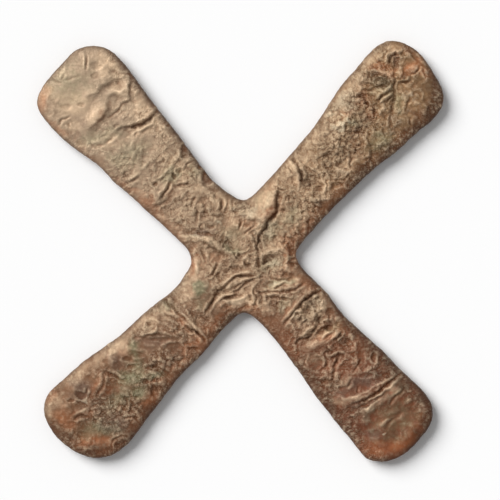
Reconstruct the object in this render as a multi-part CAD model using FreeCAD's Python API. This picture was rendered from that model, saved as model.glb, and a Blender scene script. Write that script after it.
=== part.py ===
"""A katanga cross: one copper ingot, cast in a single pour in an open sand mould.

The frame is in millimetres. Z is zero on the flat underside, which lay on the floor of the mould, and
points out of the open face, where the metal cooled in the air. X and Y are zero at the middle of the
outline's box, and Y runs along the longer side of that box.
"""

import FreeCAD
import Part
import math
import os

# Driving dimensions of the casting
THICKNESS = 9.0  # from the flat underside to the level crown of the open face
WIDEST_LEVEL = 4.8  # height at which the outline below is measured
WALL_DRAFT = 2.6  # how far the mould's wall leans in on its way down to the foot
FOOT_RADIUS = 2.4  # rounding between the wall and the flat underside
SHOULDER_WIDTH = 4.4  # the rounded shoulder, measured inwards from the outline
SHOULDER_LEVEL = 8.8  # height that the shoulder's rounding aims at
EDGE_DROP = 2.2  # how much lower the open face lies at the outline than at the crown
DOME_WIDTH = 16.0  # the open face is level from here inwards, but for its swells
FACE_MARGIN = 4.0  # how far the open face's surface is drawn past the outline
FACE_GRID = 3.0  # between the points that the open face is drawn through
ABOVE_FACE = 12.0  # the space above the metal, which the open face closes
FOOT_STEPS = 3  # flats in the rounding of the foot
SHOULDER_STEPS = 6  # flats in the rounding of the shoulder
RIM_STEPS = 900  # places on the outline from which the dome is measured

# The outline at its widest level, anticlockwise from the eastern fork between two arms
EAST_FORK = [(27.6, -2.0)]
NORTH_EAST_ARM = [
    (30.2, 3.4), (36.2, 10.4), (44.2, 19.2), (54.9, 29.7), (65.9, 40.2), (77.7, 49.5),
    (89.8, 60.4), (97.9, 67.7), (101.5, 76.3), (99.9, 83.2), (95.2, 90.8), (88.4, 99.8),
    (82.1, 103.8), (75.4, 105.1), (68.2, 102.2), (61.6, 95.9), (55.6, 89.0), (49.2, 81.0),
    (42.9, 71.2), (37.0, 62.3), (29.1, 52.7), (19.4, 42.0), (11.5, 33.0), (5.9, 27.5),
]
NORTH_FORK = [(1.6, 25.3)]
NORTH_WEST_ARM = [
    (-3.6, 27.2), (-9.8, 31.6), (-17.4, 39.6), (-25.0, 49.8), (-35.0, 63.0), (-45.1, 76.1),
    (-54.6, 88.9), (-59.8, 95.3), (-65.0, 100.1), (-70.0, 102.2), (-76.0, 102.5), (-81.6, 100.7),
    (-87.2, 95.8), (-93.5, 88.9), (-99.2, 81.5), (-101.7, 75.3), (-100.3, 69.2), (-95.5, 62.9),
    (-87.7, 55.2), (-78.5, 48.0), (-70.4, 42.1), (-64.5, 35.6), (-56.2, 28.7), (-46.9, 20.2),
    (-38.6, 12.6), (-30.9, 5.3), (-26.5, 0.3),
]
WEST_FORK = [(-24.7, -5.0)]
SOUTH_WEST_ARM = [
    (-26.8, -10.5), (-31.2, -16.8), (-39.5, -24.3), (-48.9, -31.4), (-59.2, -41.4), (-70.1, -49.3),
    (-80.0, -56.4), (-89.6, -65.0), (-95.9, -71.0), (-98.2, -78.0), (-96.5, -86.1), (-90.6, -94.3),
    (-81.5, -100.7), (-70.9, -103.6), (-63.5, -101.6), (-56.4, -96.4), (-49.4, -87.4), (-43.2, -79.2),
    (-35.5, -69.0), (-28.1, -60.3), (-18.8, -51.3), (-11.4, -41.9), (-5.8, -36.1), (-1.7, -32.4),
]
SOUTH_FORK = [(2.2, -30.8)]
SOUTH_EAST_ARM = [
    (6.3, -32.7), (12.5, -38.6), (20.2, -48.1), (29.7, -60.8), (39.3, -74.7), (49.6, -87.9),
    (58.3, -98.5), (63.2, -103.8), (69.6, -105.3), (76.9, -104.0), (84.4, -99.5), (91.6, -91.5),
    (96.2, -82.0), (94.5, -74.9), (89.4, -68.0), (80.4, -59.6), (71.6, -50.6), (60.6, -40.6),
    (51.0, -31.4), (44.0, -22.0), (35.6, -13.4), (29.9, -7.3),
]
OUTLINE = (
    EAST_FORK + NORTH_EAST_ARM + NORTH_FORK + NORTH_WEST_ARM
    + WEST_FORK + SOUTH_WEST_ARM + SOUTH_FORK + SOUTH_EAST_ARM
)

# The main swells and folds of the open face, with a negative height for hollows:
# (x, y, half length, half width, turn in degrees, height)
NORTH_WEST_SWELLS = [
    (-72, 67.5, 9, 3.2, 52, 1.0), (-77, 77, 8, 3.5, 55, 0.4), (-67.5, 88.5, 5, 3, -65, 0.5),
    (-85, 88, 4.5, 3.5, 0, 0.3), (-88, 75.5, 7, 4, 25, -0.4), (-84.5, 64.5, 4.5, 3.5, 0, -0.35),
    (-63, 83, 6, 3, 5, -0.7), (-54.5, 74, 6.5, 3, 25, -0.55), (-63, 68, 5.5, 3, 35, -0.45),
    (-54, 67.5, 10, 4, 25, 0.6), (-51.5, 61, 9, 3, 20, -0.75), (-72, 59, 6, 3, 15, -0.4),
    (-65, 53.5, 5, 4.5, 0, -0.3), (-55.5, 48, 5, 4.5, 0, 0.45), (-46, 53, 5, 6.5, 0, -0.45),
    (-56, 37, 6.5, 3.5, -10, -0.35), (-43.5, 46, 11, 3, 62, 0.4), (-39, 46, 8, 3, 62, -0.3),
    (-32, 45, 8, 3, 62, 0.6), (-39, 31, 8, 3, 58, 0.5), (-29, 38, 6, 4, 20, -0.7),
    (-34.5, 27, 8, 3.5, 60, -0.9), (-24.5, 18.5, 5.5, 4.5, 0, 0.7), (-22, 29, 6, 3.5, 15, 0.6),
    (-8, 18, 7, 3, 80, -0.8), (-12.5, 20, 6, 3, 75, 0.4), (-20, 8, 11, 3, -12, -0.8),
]
CENTRE_SWELLS = [
    (-17, 3.2, 8, 3.5, -22, 0.8), (-11, -4, 5.5, 3, -10, -0.6), (1.5, 14.5, 5, 4, 0, 0.7),
    (5, 16.5, 8, 3, -5, 0.8), (14, 22.5, 10, 3.2, 68, 1.3), (10, 6, 7, 3, 65, -1.0),
    (15, 5, 4, 3.2, 0, -0.6), (3, 3, 5, 3.5, 20, 0.5), (20.5, 19.5, 6, 3.2, 25, -0.8),
    (25, 25, 4, 3, 60, -0.5), (-4, -11, 5.5, 3, 5, -0.8), (15, -6.5, 6.5, 3, 22, -1.0),
    (15.5, -1.2, 6, 3, 5, 0.5), (22.5, -4, 3, 6, 0, 1.1), (19, -9.3, 6, 3, 5, 0.5),
    (21, -14.5, 9, 3, 8, -0.9), (-3.5, -22, 7, 3, 10, -0.7), (0, -26.2, 10, 3, 5, 0.8),
    (-14, -24, 7, 3, 62, -0.9), (-19, -17, 5, 5.5, 0, 0.8), (-27, -24, 5, 4, 45, 0.4),
    (-14.5, -10.5, 4.5, 3, 35, 0.5), (21.5, -19.5, 9, 3, 12, 0.6),
]
NORTH_EAST_SWELLS = [
    (27.5, 40.5, 5.5, 3, -62, 0.7), (25.5, 30.5, 5, 3, 0, 0.6), (35, 36, 4, 5, 20, -1.1),
    (40.5, 26, 6.5, 3, 0, 0.6), (29.5, 15.5, 7, 4, 35, 0.5), (22, 8, 4, 3, 0, 0.5),
    (45, 42.5, 5, 4, -15, -0.9), (40, 51, 10, 4, 42, 0.3), (52, 65, 3.5, 5.5, -10, 0.8),
    (61.5, 60, 5.5, 4, 0, -0.7), (60, 46.5, 4.5, 4, 0, 0.6), (66, 52, 7, 3, 100, -0.5),
    (59, 81, 9, 3.2, 70, 0.7), (65, 77.5, 7, 3, -62, -0.8), (77, 75, 9.5, 3, 78, -1.0),
    (71, 70, 3, 4, 0, 0.6), (73.5, 87.5, 4.5, 3, -25, 1.0), (70, 97, 4.5, 3.5, 0, 0.5),
    (81, 93, 5.5, 4, 20, -0.7), (88, 90, 4.5, 3, -20, 0.5), (85, 83, 7, 3, 0, -0.35),
    (84.5, 66, 5, 3, 35, 0.6), (90, 72, 4, 4, 0, 0.5),
]
SOUTH_WEST_SWELLS = [
    (-20.5, -34.5, 4.5, 3, 0, -0.7), (-36, -31, 6, 3, -25, 0.5), (-30, -31, 6, 3, -45, -0.5),
    (-38, -41.5, 9, 3, -12, 0.6), (-33, -51, 7, 4, 0, -0.3), (-56, -49.5, 5.5, 3, -10, 0.8),
    (-64, -53.5, 3.5, 3, -45, 0.8), (-50, -57, 6, 3, -5, -0.7), (-58, -59.5, 4.5, 3.2, -45, -0.6),
    (-69.5, -63.5, 5.5, 3.2, 65, 0.8), (-63, -65.5, 4, 3, 0, -0.8), (-82, -67, 6, 3.5, 55, 0.5),
    (-86, -77, 5, 3.5, 80, 0.5), (-79, -74, 4.5, 3, 30, -0.5), (-66, -75.5, 8, 3.2, -8, -0.5),
    (-57, -70, 3.5, 3, 0, 0.7), (-45.5, -64, 8, 3, -10, 0.6), (-48, -72, 3, 3.5, 0, 0.7),
    (-54, -82, 5.5, 3, 0, 0.5), (-78, -88.5, 4.5, 5, 0, -0.8), (-65, -87, 5, 3.5, 0, -0.5),
    (-69, -96.5, 9, 3, 8, 0.7), (-38, -55.5, 5, 4, 0, 0.3),
]
SOUTH_EAST_SWELLS = [
    (32.5, -21.5, 6, 3, 48, 0.9), (36, -26, 7, 3, 48, -1.2), (21, -26, 4.5, 3, 0, -0.7),
    (26, -30, 7, 3, 55, 0.9), (42.5, -30.5, 7, 3, -62, 0.7), (36, -32.5, 3, 3.5, 0, 0.8),
    (37, -41, 7.5, 3, 45, -0.7), (43, -44, 9, 3, 30, 0.9), (39, -49.5, 5.5, 3.2, 0, 0.8),
    (48, -55.5, 3, 4.5, 0, -0.5), (60, -44, 5.5, 3, -50, 0.4), (65.5, -56, 3, 6, -10, 0.6),
    (52, -64.5, 7.5, 3, 35, 0.5), (63, -66, 7, 3, 15, -0.6), (58, -74, 9, 3, 10, 1.0),
    (73, -65.5, 6, 3, 42, 0.6), (71, -69.5, 6, 3, 42, -0.8), (55, -81, 6, 3, 5, -0.7),
    (68, -78, 10, 3, 38, 0.6), (78, -70, 4.5, 3.2, 35, 0.9), (84.5, -90, 9, 3, 50, 0.6),
    (77, -90, 7, 3.5, 75, -0.6), (84, -79, 4, 3, 0, -0.4), (59, -90, 5, 4.5, 0, -0.4),
    (70, -85, 6, 3, 50, 0.3),
]
SWELLS = NORTH_WEST_SWELLS + CENTRE_SWELLS + NORTH_EAST_SWELLS + SOUTH_WEST_SWELLS + SOUTH_EAST_SWELLS
PARTS_FOLDER = "parts"


def closed_curve(points):
    """The smooth closed curve through the points."""
    curve = Part.BSplineCurve()
    curve.interpolate(Points=points, PeriodicFlag=True)
    return curve


def outline_points():
    return [FreeCAD.Vector(x, y, 0) for x, y in OUTLINE]


def inward_normals(points):
    """At each outline point, the level direction into the metal."""
    curve = closed_curve(points)
    up = FreeCAD.Vector(0, 0, 1)
    return [up.cross(curve.tangent(curve.parameter(p))[0]).normalize() for p in points]


def section(points, normals, inset, level):
    """The casting's outline at one level, drawn in from the widest outline by the inset."""
    moved = [p + n * inset + FreeCAD.Vector(0, 0, level) for p, n in zip(points, normals)]
    return Part.Wire(closed_curve(moved).toShape())


def arc_steps(count):
    """The cosine and sine at even steps of a quarter turn, both ends included."""
    return [(math.cos(turn), math.sin(turn)) for turn in (math.pi / 2 * i / count for i in range(count + 1))]


def edge_profile():
    """(inset, level) of each section, from the flat underside up over the shoulder and on above the metal."""
    foot = [
        (WALL_DRAFT + FOOT_RADIUS * (1 - sine), FOOT_RADIUS * (1 - cosine))
        for cosine, sine in arc_steps(FOOT_STEPS)
    ]
    shoulder_rise = SHOULDER_LEVEL - WIDEST_LEVEL
    shoulder = [
        (SHOULDER_WIDTH * (1 - cosine), WIDEST_LEVEL + shoulder_rise * sine)
        for cosine, sine in arc_steps(SHOULDER_STEPS)
    ]
    above = [(SHOULDER_WIDTH, THICKNESS + ABOVE_FACE / 2)]
    return foot + shoulder + above


def inset_at(place, rim, into_metal):
    """How far a place lies inside the outline, or outside it where negative."""
    nearest = min(range(len(rim)), key=lambda i: (place.x - rim[i].x) ** 2 + (place.y - rim[i].y) ** 2)
    return (place - rim[nearest]).dot(into_metal[nearest])


def swell_at(place):
    """How far all the swells and hollows together lift the open face at a place."""
    lift = 0
    for x, y, half_length, half_width, turn, height in SWELLS:
        cosine, sine = math.cos(math.radians(turn)), math.sin(math.radians(turn))
        along = ((place.x - x) * cosine + (place.y - y) * sine) / half_length
        across = ((place.y - y) * cosine - (place.x - x) * sine) / half_width
        lift += height * math.exp(-along * along - across * across)
    return lift


def face_level(place, rim, into_metal):
    """The level of the open face: a low dome with its swells, which die away at the outline."""
    inset = max(inset_at(place, rim, into_metal), -FACE_MARGIN)
    to_crown = 1 - min(inset / DOME_WIDTH, 1)
    share = max(0, min(inset / SHOULDER_WIDTH, 1))
    return THICKNESS - EDGE_DROP * to_crown**2 + swell_at(place) * share


def open_face(points):
    """The open face as one smooth surface, drawn past the outline on every side."""
    rim = closed_curve(points).discretize(RIM_STEPS)
    before, after = rim[-2:] + rim[:-2], rim[2:] + rim[:2]
    up = FreeCAD.Vector(0, 0, 1)
    into_metal = [up.cross(ahead - behind).normalize() for behind, ahead in zip(before, after)]
    half_width = max(abs(p.x) for p in points) + 2 * FACE_MARGIN
    half_length = max(abs(p.y) for p in points) + 2 * FACE_MARGIN
    rows = []
    for i in range(round(2 * half_width / FACE_GRID) + 1):
        row = [
            FreeCAD.Vector(-half_width + i * FACE_GRID, -half_length + j * FACE_GRID, 0)
            for j in range(round(2 * half_length / FACE_GRID) + 1)
        ]
        rows.append([place + up * face_level(place, rim, into_metal) for place in row])
    surface = Part.BSplineSurface()
    surface.interpolate(rows)
    return surface.toShape()


def cast_cross():
    """The whole ingot: the mould's space, filled up to the open face."""
    points = outline_points()
    normals = inward_normals(points)
    sections = [section(points, normals, inset, level) for inset, level in edge_profile()]
    space = Part.makeLoft(sections, True, True)
    air = open_face(points).extrude(FreeCAD.Vector(0, 0, ABOVE_FACE))
    return space.cut(air).Solids[0]


def main():
    os.makedirs(PARTS_FOLDER, exist_ok=True)
    cross = cast_cross()
    cross.exportStep(os.path.join(PARTS_FOLDER, "cast_cross.step"))
    box = cross.BoundBox
    print(f"valid {cross.isValid()}, faces {len(cross.Faces)}, volume {cross.Volume / 1000:.1f} cm3")
    print(f"x {box.XMin:.2f} {box.XMax:.2f}, y {box.YMin:.2f} {box.YMax:.2f}, z {box.ZMin:.2f} {box.ZMax:.2f}")


main()
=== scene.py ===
import math

import bpy
import numpy as np
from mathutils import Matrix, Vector, kdtree, noise
from mathutils.geometry import delaunay_2d_cdt


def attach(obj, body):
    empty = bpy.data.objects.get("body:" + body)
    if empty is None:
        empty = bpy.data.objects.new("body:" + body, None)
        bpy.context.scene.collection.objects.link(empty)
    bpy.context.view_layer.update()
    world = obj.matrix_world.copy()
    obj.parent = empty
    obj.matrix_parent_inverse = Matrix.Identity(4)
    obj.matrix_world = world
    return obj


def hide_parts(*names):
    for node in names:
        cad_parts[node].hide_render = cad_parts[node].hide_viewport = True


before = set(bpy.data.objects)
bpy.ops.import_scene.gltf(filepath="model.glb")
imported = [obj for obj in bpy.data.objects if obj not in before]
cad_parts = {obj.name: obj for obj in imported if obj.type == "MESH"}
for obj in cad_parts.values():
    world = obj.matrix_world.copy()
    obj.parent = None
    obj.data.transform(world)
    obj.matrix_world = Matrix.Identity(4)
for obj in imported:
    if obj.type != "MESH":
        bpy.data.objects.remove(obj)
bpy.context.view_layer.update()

# The ingot's outline and edge
# The cross is one ingot of copper, poured into an X-shaped hollow in a bed of sand and left open to the air.
# Its outline is the wall of that hollow, which leans in towards the floor of the mould, and along the top
# the metal drew up into a rounded shoulder as it set.

MM = 0.001
THICKNESS = 9.0  # to the level crown of the open face
WIDEST_LEVEL = 4.8  # height at which the outline is measured
WALL_DRAFT = 2.6
FOOT_RADIUS = 2.4
SHOULDER_WIDTH = 4.4
SHOULDER_LEVEL = 8.8  # height that the shoulder's rounding aims at
EDGE_DROP = 2.2  # how much lower the open face lies at the outline than at the crown
DOME_WIDTH = 16.0  # the open face is level from here inwards, but for its swells
FOOT_STEPS, WALL_STEPS = 3, 3
SHOULDER_INSETS = [0.0, 0.06, 0.22, 0.48, 0.85, 1.35, 2.0, 2.8, 3.6, 4.4]
SHOULDER_BLEND = 0.5  # rounding where the shoulder meets the open face
RIM_STEP = 0.6  # along the outline
FACE_STEP = 0.55  # between the points of the open face
UNDERSIDE_STEP = 1.5

# The outline, anticlockwise from the eastern fork between two arms
EAST_FORK = [(27.6, -2.0)]
NORTH_EAST_ARM = [
    (30.2, 3.4), (36.2, 10.4), (44.2, 19.2), (54.9, 29.7), (65.9, 40.2), (77.7, 49.5),
    (89.8, 60.4), (97.9, 67.7), (101.5, 76.3), (99.9, 83.2), (95.2, 90.8), (88.4, 99.8),
    (82.1, 103.8), (75.4, 105.1), (68.2, 102.2), (61.6, 95.9), (55.6, 89.0), (49.2, 81.0),
    (42.9, 71.2), (37.0, 62.3), (29.1, 52.7), (19.4, 42.0), (11.5, 33.0), (5.9, 27.5),
]
NORTH_FORK = [(1.6, 25.3)]
NORTH_WEST_ARM = [
    (-3.6, 27.2), (-9.8, 31.6), (-17.4, 39.6), (-25.0, 49.8), (-35.0, 63.0), (-45.1, 76.1),
    (-54.6, 88.9), (-59.8, 95.3), (-65.0, 100.1), (-70.0, 102.2), (-76.0, 102.5), (-81.6, 100.7),
    (-87.2, 95.8), (-93.5, 88.9), (-99.2, 81.5), (-101.7, 75.3), (-100.3, 69.2), (-95.5, 62.9),
    (-87.7, 55.2), (-78.5, 48.0), (-70.4, 42.1), (-64.5, 35.6), (-56.2, 28.7), (-46.9, 20.2),
    (-38.6, 12.6), (-30.9, 5.3), (-26.5, 0.3),
]
WEST_FORK = [(-24.7, -5.0)]
SOUTH_WEST_ARM = [
    (-26.8, -10.5), (-31.2, -16.8), (-39.5, -24.3), (-48.9, -31.4), (-59.2, -41.4), (-70.1, -49.3),
    (-80.0, -56.4), (-89.6, -65.0), (-95.9, -71.0), (-98.2, -78.0), (-96.5, -86.1), (-90.6, -94.3),
    (-81.5, -100.7), (-70.9, -103.6), (-63.5, -101.6), (-56.4, -96.4), (-49.4, -87.4), (-43.2, -79.2),
    (-35.5, -69.0), (-28.1, -60.3), (-18.8, -51.3), (-11.4, -41.9), (-5.8, -36.1), (-1.7, -32.4),
]
SOUTH_FORK = [(2.2, -30.8)]
SOUTH_EAST_ARM = [
    (6.3, -32.7), (12.5, -38.6), (20.2, -48.1), (29.7, -60.8), (39.3, -74.7), (49.6, -87.9),
    (58.3, -98.5), (63.2, -103.8), (69.6, -105.3), (76.9, -104.0), (84.4, -99.5), (91.6, -91.5),
    (96.2, -82.0), (94.5, -74.9), (89.4, -68.0), (80.4, -59.6), (71.6, -50.6), (60.6, -40.6),
    (51.0, -31.4), (44.0, -22.0), (35.6, -13.4), (29.9, -7.3),
]
OUTLINE = (
    EAST_FORK + NORTH_EAST_ARM + NORTH_FORK + NORTH_WEST_ARM
    + WEST_FORK + SOUTH_WEST_ARM + SOUTH_FORK + SOUTH_EAST_ARM
)


def closed_curve(points, step):
    """The smooth closed curve through the points, as places a steady step apart."""
    points = np.array(points)
    count = len(points)
    following = np.roll(points, -1, axis=0)
    spans = np.linalg.norm(following - points, axis=1)
    bends = np.zeros((count, count))
    pulls = np.zeros((count, 2))
    for i in range(count):
        before, after = spans[i - 1], spans[i]
        bends[i, i - 1] += before / 6
        bends[i, i] += (before + after) / 3
        bends[i, (i + 1) % count] += after / 6
        pulls[i] = (following[i] - points[i]) / after - (points[i] - points[i - 1]) / before
    curving = np.linalg.solve(bends, pulls)
    dense = []
    for i in range(count):
        ahead = np.linspace(0, 1, 40, endpoint=False)[:, None]
        left = 1 - ahead
        straight = left * points[i] + ahead * following[i]
        bowed = (left**3 - left) * curving[i] + (ahead**3 - ahead) * curving[(i + 1) % count]
        dense.append(straight + bowed * spans[i]**2 / 6)
    dense = np.concatenate(dense + [points[:1]])
    passed = np.concatenate([[0], np.cumsum(np.linalg.norm(np.diff(dense, axis=0), axis=1))])
    even = np.linspace(0, passed[-1], round(passed[-1] / step), endpoint=False)
    return np.stack([np.interp(even, passed, dense[:, axis]) for axis in (0, 1)], axis=1)


def inward(curve):
    """The level direction into the metal at each place of the outline."""
    tangents = np.roll(curve, -2, axis=0) - np.roll(curve, 2, axis=0)
    tangents /= np.linalg.norm(tangents, axis=1)[:, None]
    return np.stack([-tangents[:, 1], tangents[:, 0]], axis=1)


def dome_level(inset):
    """The level of the open face without its swells, which rises from the outline to the crown."""
    return THICKNESS - EDGE_DROP * (1 - np.minimum(inset / DOME_WIDTH, 1)) ** 2


def shoulder_level(inset):
    """The level of the rounded shoulder, which runs softly into the open face."""
    across = 1 - inset / SHOULDER_WIDTH
    rounding = WIDEST_LEVEL + (SHOULDER_LEVEL - WIDEST_LEVEL) * math.sqrt(1 - across**2)
    dome = dome_level(inset)
    near = max(SHOULDER_BLEND - abs(rounding - dome), 0) / SHOULDER_BLEND
    return min(rounding, dome) - near**2 * SHOULDER_BLEND / 4


def edge_profile():
    """(inset, level) of each ring, from the flat underside up the leaning wall and over the shoulder."""
    quarter = [math.pi / 2 * i / FOOT_STEPS for i in range(FOOT_STEPS)]
    foot = [(WALL_DRAFT + FOOT_RADIUS * (1 - math.sin(t)), FOOT_RADIUS * (1 - math.cos(t))) for t in quarter]
    rise = WIDEST_LEVEL - FOOT_RADIUS
    wall = [
        (WALL_DRAFT * (1 - i / WALL_STEPS), FOOT_RADIUS + rise * i / WALL_STEPS) for i in range(WALL_STEPS)
    ]
    return np.array(foot + wall + [(inset, shoulder_level(inset)) for inset in SHOULDER_INSETS])


def spread(ring, gap):
    """Places about a gap apart, in staggered rows inside a closed ring."""
    following = np.roll(ring, -1, axis=0)
    row_height = gap * math.sqrt(3) / 2
    low, high = ring[:, 1].min(), ring[:, 1].max()
    rows = []
    for row in range(int((high - low) / row_height)):
        y = low + (row + 0.5) * row_height
        crossed = (ring[:, 1] <= y) != (following[:, 1] <= y)
        share = (y - ring[crossed, 1]) / (following[crossed, 1] - ring[crossed, 1])
        ends = np.sort(ring[crossed, 0] + share * (following[crossed, 0] - ring[crossed, 0]))
        for start, end in zip(ends[::2], ends[1::2]):
            across = np.arange(start + gap * (0.3 + 0.5 * (row % 2)), end - 0.3 * gap, gap)
            rows.append(np.stack([across, np.full(len(across), y)], axis=1))
    return np.vstack(rows) + np.random.default_rng(4).uniform(-0.2, 0.2, (sum(map(len, rows)), 2)) * gap


def fill(ring, inside):
    """Triangles over a closed ring and the places inside it, numbered in that order."""
    places = [Vector(p) for p in np.vstack([ring, inside]).tolist()]
    sides = [(i, (i + 1) % len(ring)) for i in range(len(ring))]
    found = delaunay_2d_cdt(places, sides, [], 1, 1e-7)
    first = [numbers[0] for numbers in found[3]]
    return np.array([[first[i] for i in corner] for corner in found[2]])


rim = closed_curve(OUTLINE, RIM_STEP)
into_metal = inward(rim)
profile = edge_profile()
rings = [rim + into_metal * inset for inset, level in profile]
face_places = spread(rim + into_metal * (SHOULDER_WIDTH + 0.6 * FACE_STEP), FACE_STEP)
foot_inset = profile[0, 0]
underside_places = spread(rim + into_metal * (foot_inset + 0.6 * UNDERSIDE_STEP), UNDERSIDE_STEP)

rim_tree = kdtree.KDTree(len(rim))
for number, (x, y) in enumerate(rim.tolist()):
    rim_tree.insert((x, y, 0), number)
rim_tree.balance()
face_inset = np.array([rim_tree.find((x, y, 0))[2] for x, y in face_places.tolist()])

places = np.vstack(
    [np.column_stack([ring, np.full(len(ring), level)]) for ring, level in zip(rings, profile[:, 1])]
    + [np.column_stack([face_places, dome_level(face_inset)])]
    + [np.column_stack([underside_places, np.zeros(len(underside_places))])]
)
inset = np.concatenate([
    np.repeat(profile[:, 0], len(rim)), face_inset, np.full(len(underside_places), DOME_WIDTH)
])
ring_count, around = len(rings), len(rim)
face_start = ring_count * around
underside_start = face_start + len(face_places)
shoulder_start = (FOOT_STEPS + WALL_STEPS) * around

here = np.arange(around)
beside = (here + 1) % around
strips = [
    np.stack([here + low, beside + low, beside + low + around, here + low + around], axis=1)
    for low in range(0, face_start - around, around)
]
top_ring = (ring_count - 1) * around
face_triangles = fill(rings[-1], face_places)
face_triangles += np.where(face_triangles < around, top_ring, face_start - around)
underside_triangles = fill(rings[0], underside_places)
underside_triangles += np.where(underside_triangles < around, 0, underside_start - around)
faces = np.vstack(strips).tolist() + face_triangles.tolist() + underside_triangles[:, ::-1].tolist()

cross_mesh = bpy.data.meshes.new("cast_cross_skin")
cross_mesh.from_pydata(places * MM, [], faces)

# The skin laid flat for textures baked from it, with its edge unrolled: the open face and the shoulder
# large, and the lower wall and the underside, seen from below, smaller in the corner beside them
UPPER_PART, LOWER_PART = 0.7, 0.29  # of the texture's width
FLAT_WIDTH = 216.0  # of the cross with its edge unrolled
rises = np.linalg.norm(np.diff(profile, axis=0), axis=1)
from_face = profile[-1, 0] - np.append(np.cumsum(rises[::-1])[::-1], 0)
from_foot = profile[0, 0] - np.append(0, np.cumsum(rises))
upper, lower = places[:, :2].copy(), places[:, :2].copy()
upper[:face_start] = np.vstack([rim + into_metal * shift for shift in from_face])
lower[:face_start] = np.vstack([rim + into_metal * shift for shift in from_foot])
lower[:, 0] *= -1
upper = upper * UPPER_PART / FLAT_WIDTH + UPPER_PART / 2
lower = lower * LOWER_PART / FLAT_WIDTH + 1 - LOWER_PART / 2
is_lower = np.ones(len(faces), bool)
is_lower[shoulder_start:len(faces) - len(underside_triangles)] = False
is_lower = np.repeat(is_lower, [len(face) for face in faces])
corners = np.zeros(len(cross_mesh.loops), np.int32)
cross_mesh.loops.foreach_get("vertex_index", corners)
laid_flat = np.where(is_lower[:, None], lower[corners], upper[corners])
cross_mesh.uv_layers.new(name="OFBake").uv.foreach_set("vector", laid_flat.astype(np.float32).ravel())

normals = np.zeros(len(places) * 3, np.float32)
cross_mesh.vertices.foreach_get("normal", normals)
normals = normals.reshape(-1, 3)

# The open face
# The copper skinned over while it still moved beneath, and the skin crumpled into folds that mostly run
# across the arms. Each fold, crease and lump that stands out is given one by one, in millimetres.

# The main swells and folds, with a negative height for hollows:
# (x, y, half length, half width, turn in degrees, height)
NORTH_WEST_SWELLS = [
    (-72, 67.5, 9, 3.2, 52, 1.0), (-77, 77, 8, 3.5, 55, 0.4), (-67.5, 88.5, 5, 3, -65, 0.5),
    (-85, 88, 4.5, 3.5, 0, 0.3), (-88, 75.5, 7, 4, 25, -0.4), (-84.5, 64.5, 4.5, 3.5, 0, -0.35),
    (-63, 83, 6, 3, 5, -0.7), (-54.5, 74, 6.5, 3, 25, -0.55), (-63, 68, 5.5, 3, 35, -0.45),
    (-54, 67.5, 10, 4, 25, 0.6), (-51.5, 61, 9, 3, 20, -0.75), (-72, 59, 6, 3, 15, -0.4),
    (-65, 53.5, 5, 4.5, 0, -0.3), (-55.5, 48, 5, 4.5, 0, 0.45), (-46, 53, 5, 6.5, 0, -0.45),
    (-56, 37, 6.5, 3.5, -10, -0.35), (-43.5, 46, 11, 3, 62, 0.4), (-39, 46, 8, 3, 62, -0.3),
    (-32, 45, 8, 3, 62, 0.6), (-39, 31, 8, 3, 58, 0.5), (-29, 38, 6, 4, 20, -0.7),
    (-34.5, 27, 8, 3.5, 60, -0.9), (-24.5, 18.5, 5.5, 4.5, 0, 0.7), (-22, 29, 6, 3.5, 15, 0.6),
    (-8, 18, 7, 3, 80, -0.8), (-12.5, 20, 6, 3, 75, 0.4), (-20, 8, 11, 3, -12, -0.8),
]
CENTRE_SWELLS = [
    (-17, 3.2, 8, 3.5, -22, 0.8), (-11, -4, 5.5, 3, -10, -0.6), (1.5, 14.5, 5, 4, 0, 0.7),
    (5, 16.5, 8, 3, -5, 0.8), (14, 22.5, 10, 3.2, 68, 1.3), (10, 6, 7, 3, 65, -1.0),
    (15, 5, 4, 3.2, 0, -0.6), (3, 3, 5, 3.5, 20, 0.5), (20.5, 19.5, 6, 3.2, 25, -0.8),
    (25, 25, 4, 3, 60, -0.5), (-4, -11, 5.5, 3, 5, -0.8), (15, -6.5, 6.5, 3, 22, -1.0),
    (15.5, -1.2, 6, 3, 5, 0.5), (22.5, -4, 3, 6, 0, 1.1), (19, -9.3, 6, 3, 5, 0.5),
    (21, -14.5, 9, 3, 8, -0.9), (-3.5, -22, 7, 3, 10, -0.7), (0, -26.2, 10, 3, 5, 0.8),
    (-14, -24, 7, 3, 62, -0.9), (-19, -17, 5, 5.5, 0, 0.8), (-27, -24, 5, 4, 45, 0.4),
    (-14.5, -10.5, 4.5, 3, 35, 0.5), (21.5, -19.5, 9, 3, 12, 0.6),
]
NORTH_EAST_SWELLS = [
    (27.5, 40.5, 5.5, 3, -62, 0.7), (25.5, 30.5, 5, 3, 0, 0.6), (35, 36, 4, 5, 20, -1.1),
    (40.5, 26, 6.5, 3, 0, 0.6), (29.5, 15.5, 7, 4, 35, 0.5), (22, 8, 4, 3, 0, 0.5),
    (45, 42.5, 5, 4, -15, -0.9), (40, 51, 10, 4, 42, 0.3), (52, 65, 3.5, 5.5, -10, 0.8),
    (61.5, 60, 5.5, 4, 0, -0.7), (60, 46.5, 4.5, 4, 0, 0.6), (66, 52, 7, 3, 100, -0.5),
    (59, 81, 9, 3.2, 70, 0.7), (65, 77.5, 7, 3, -62, -0.8), (77, 75, 9.5, 3, 78, -1.0),
    (71, 70, 3, 4, 0, 0.6), (73.5, 87.5, 4.5, 3, -25, 1.0), (70, 97, 4.5, 3.5, 0, 0.5),
    (81, 93, 5.5, 4, 20, -0.7), (88, 90, 4.5, 3, -20, 0.5), (85, 83, 7, 3, 0, -0.35),
    (84.5, 66, 5, 3, 35, 0.6), (90, 72, 4, 4, 0, 0.5),
]
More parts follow.
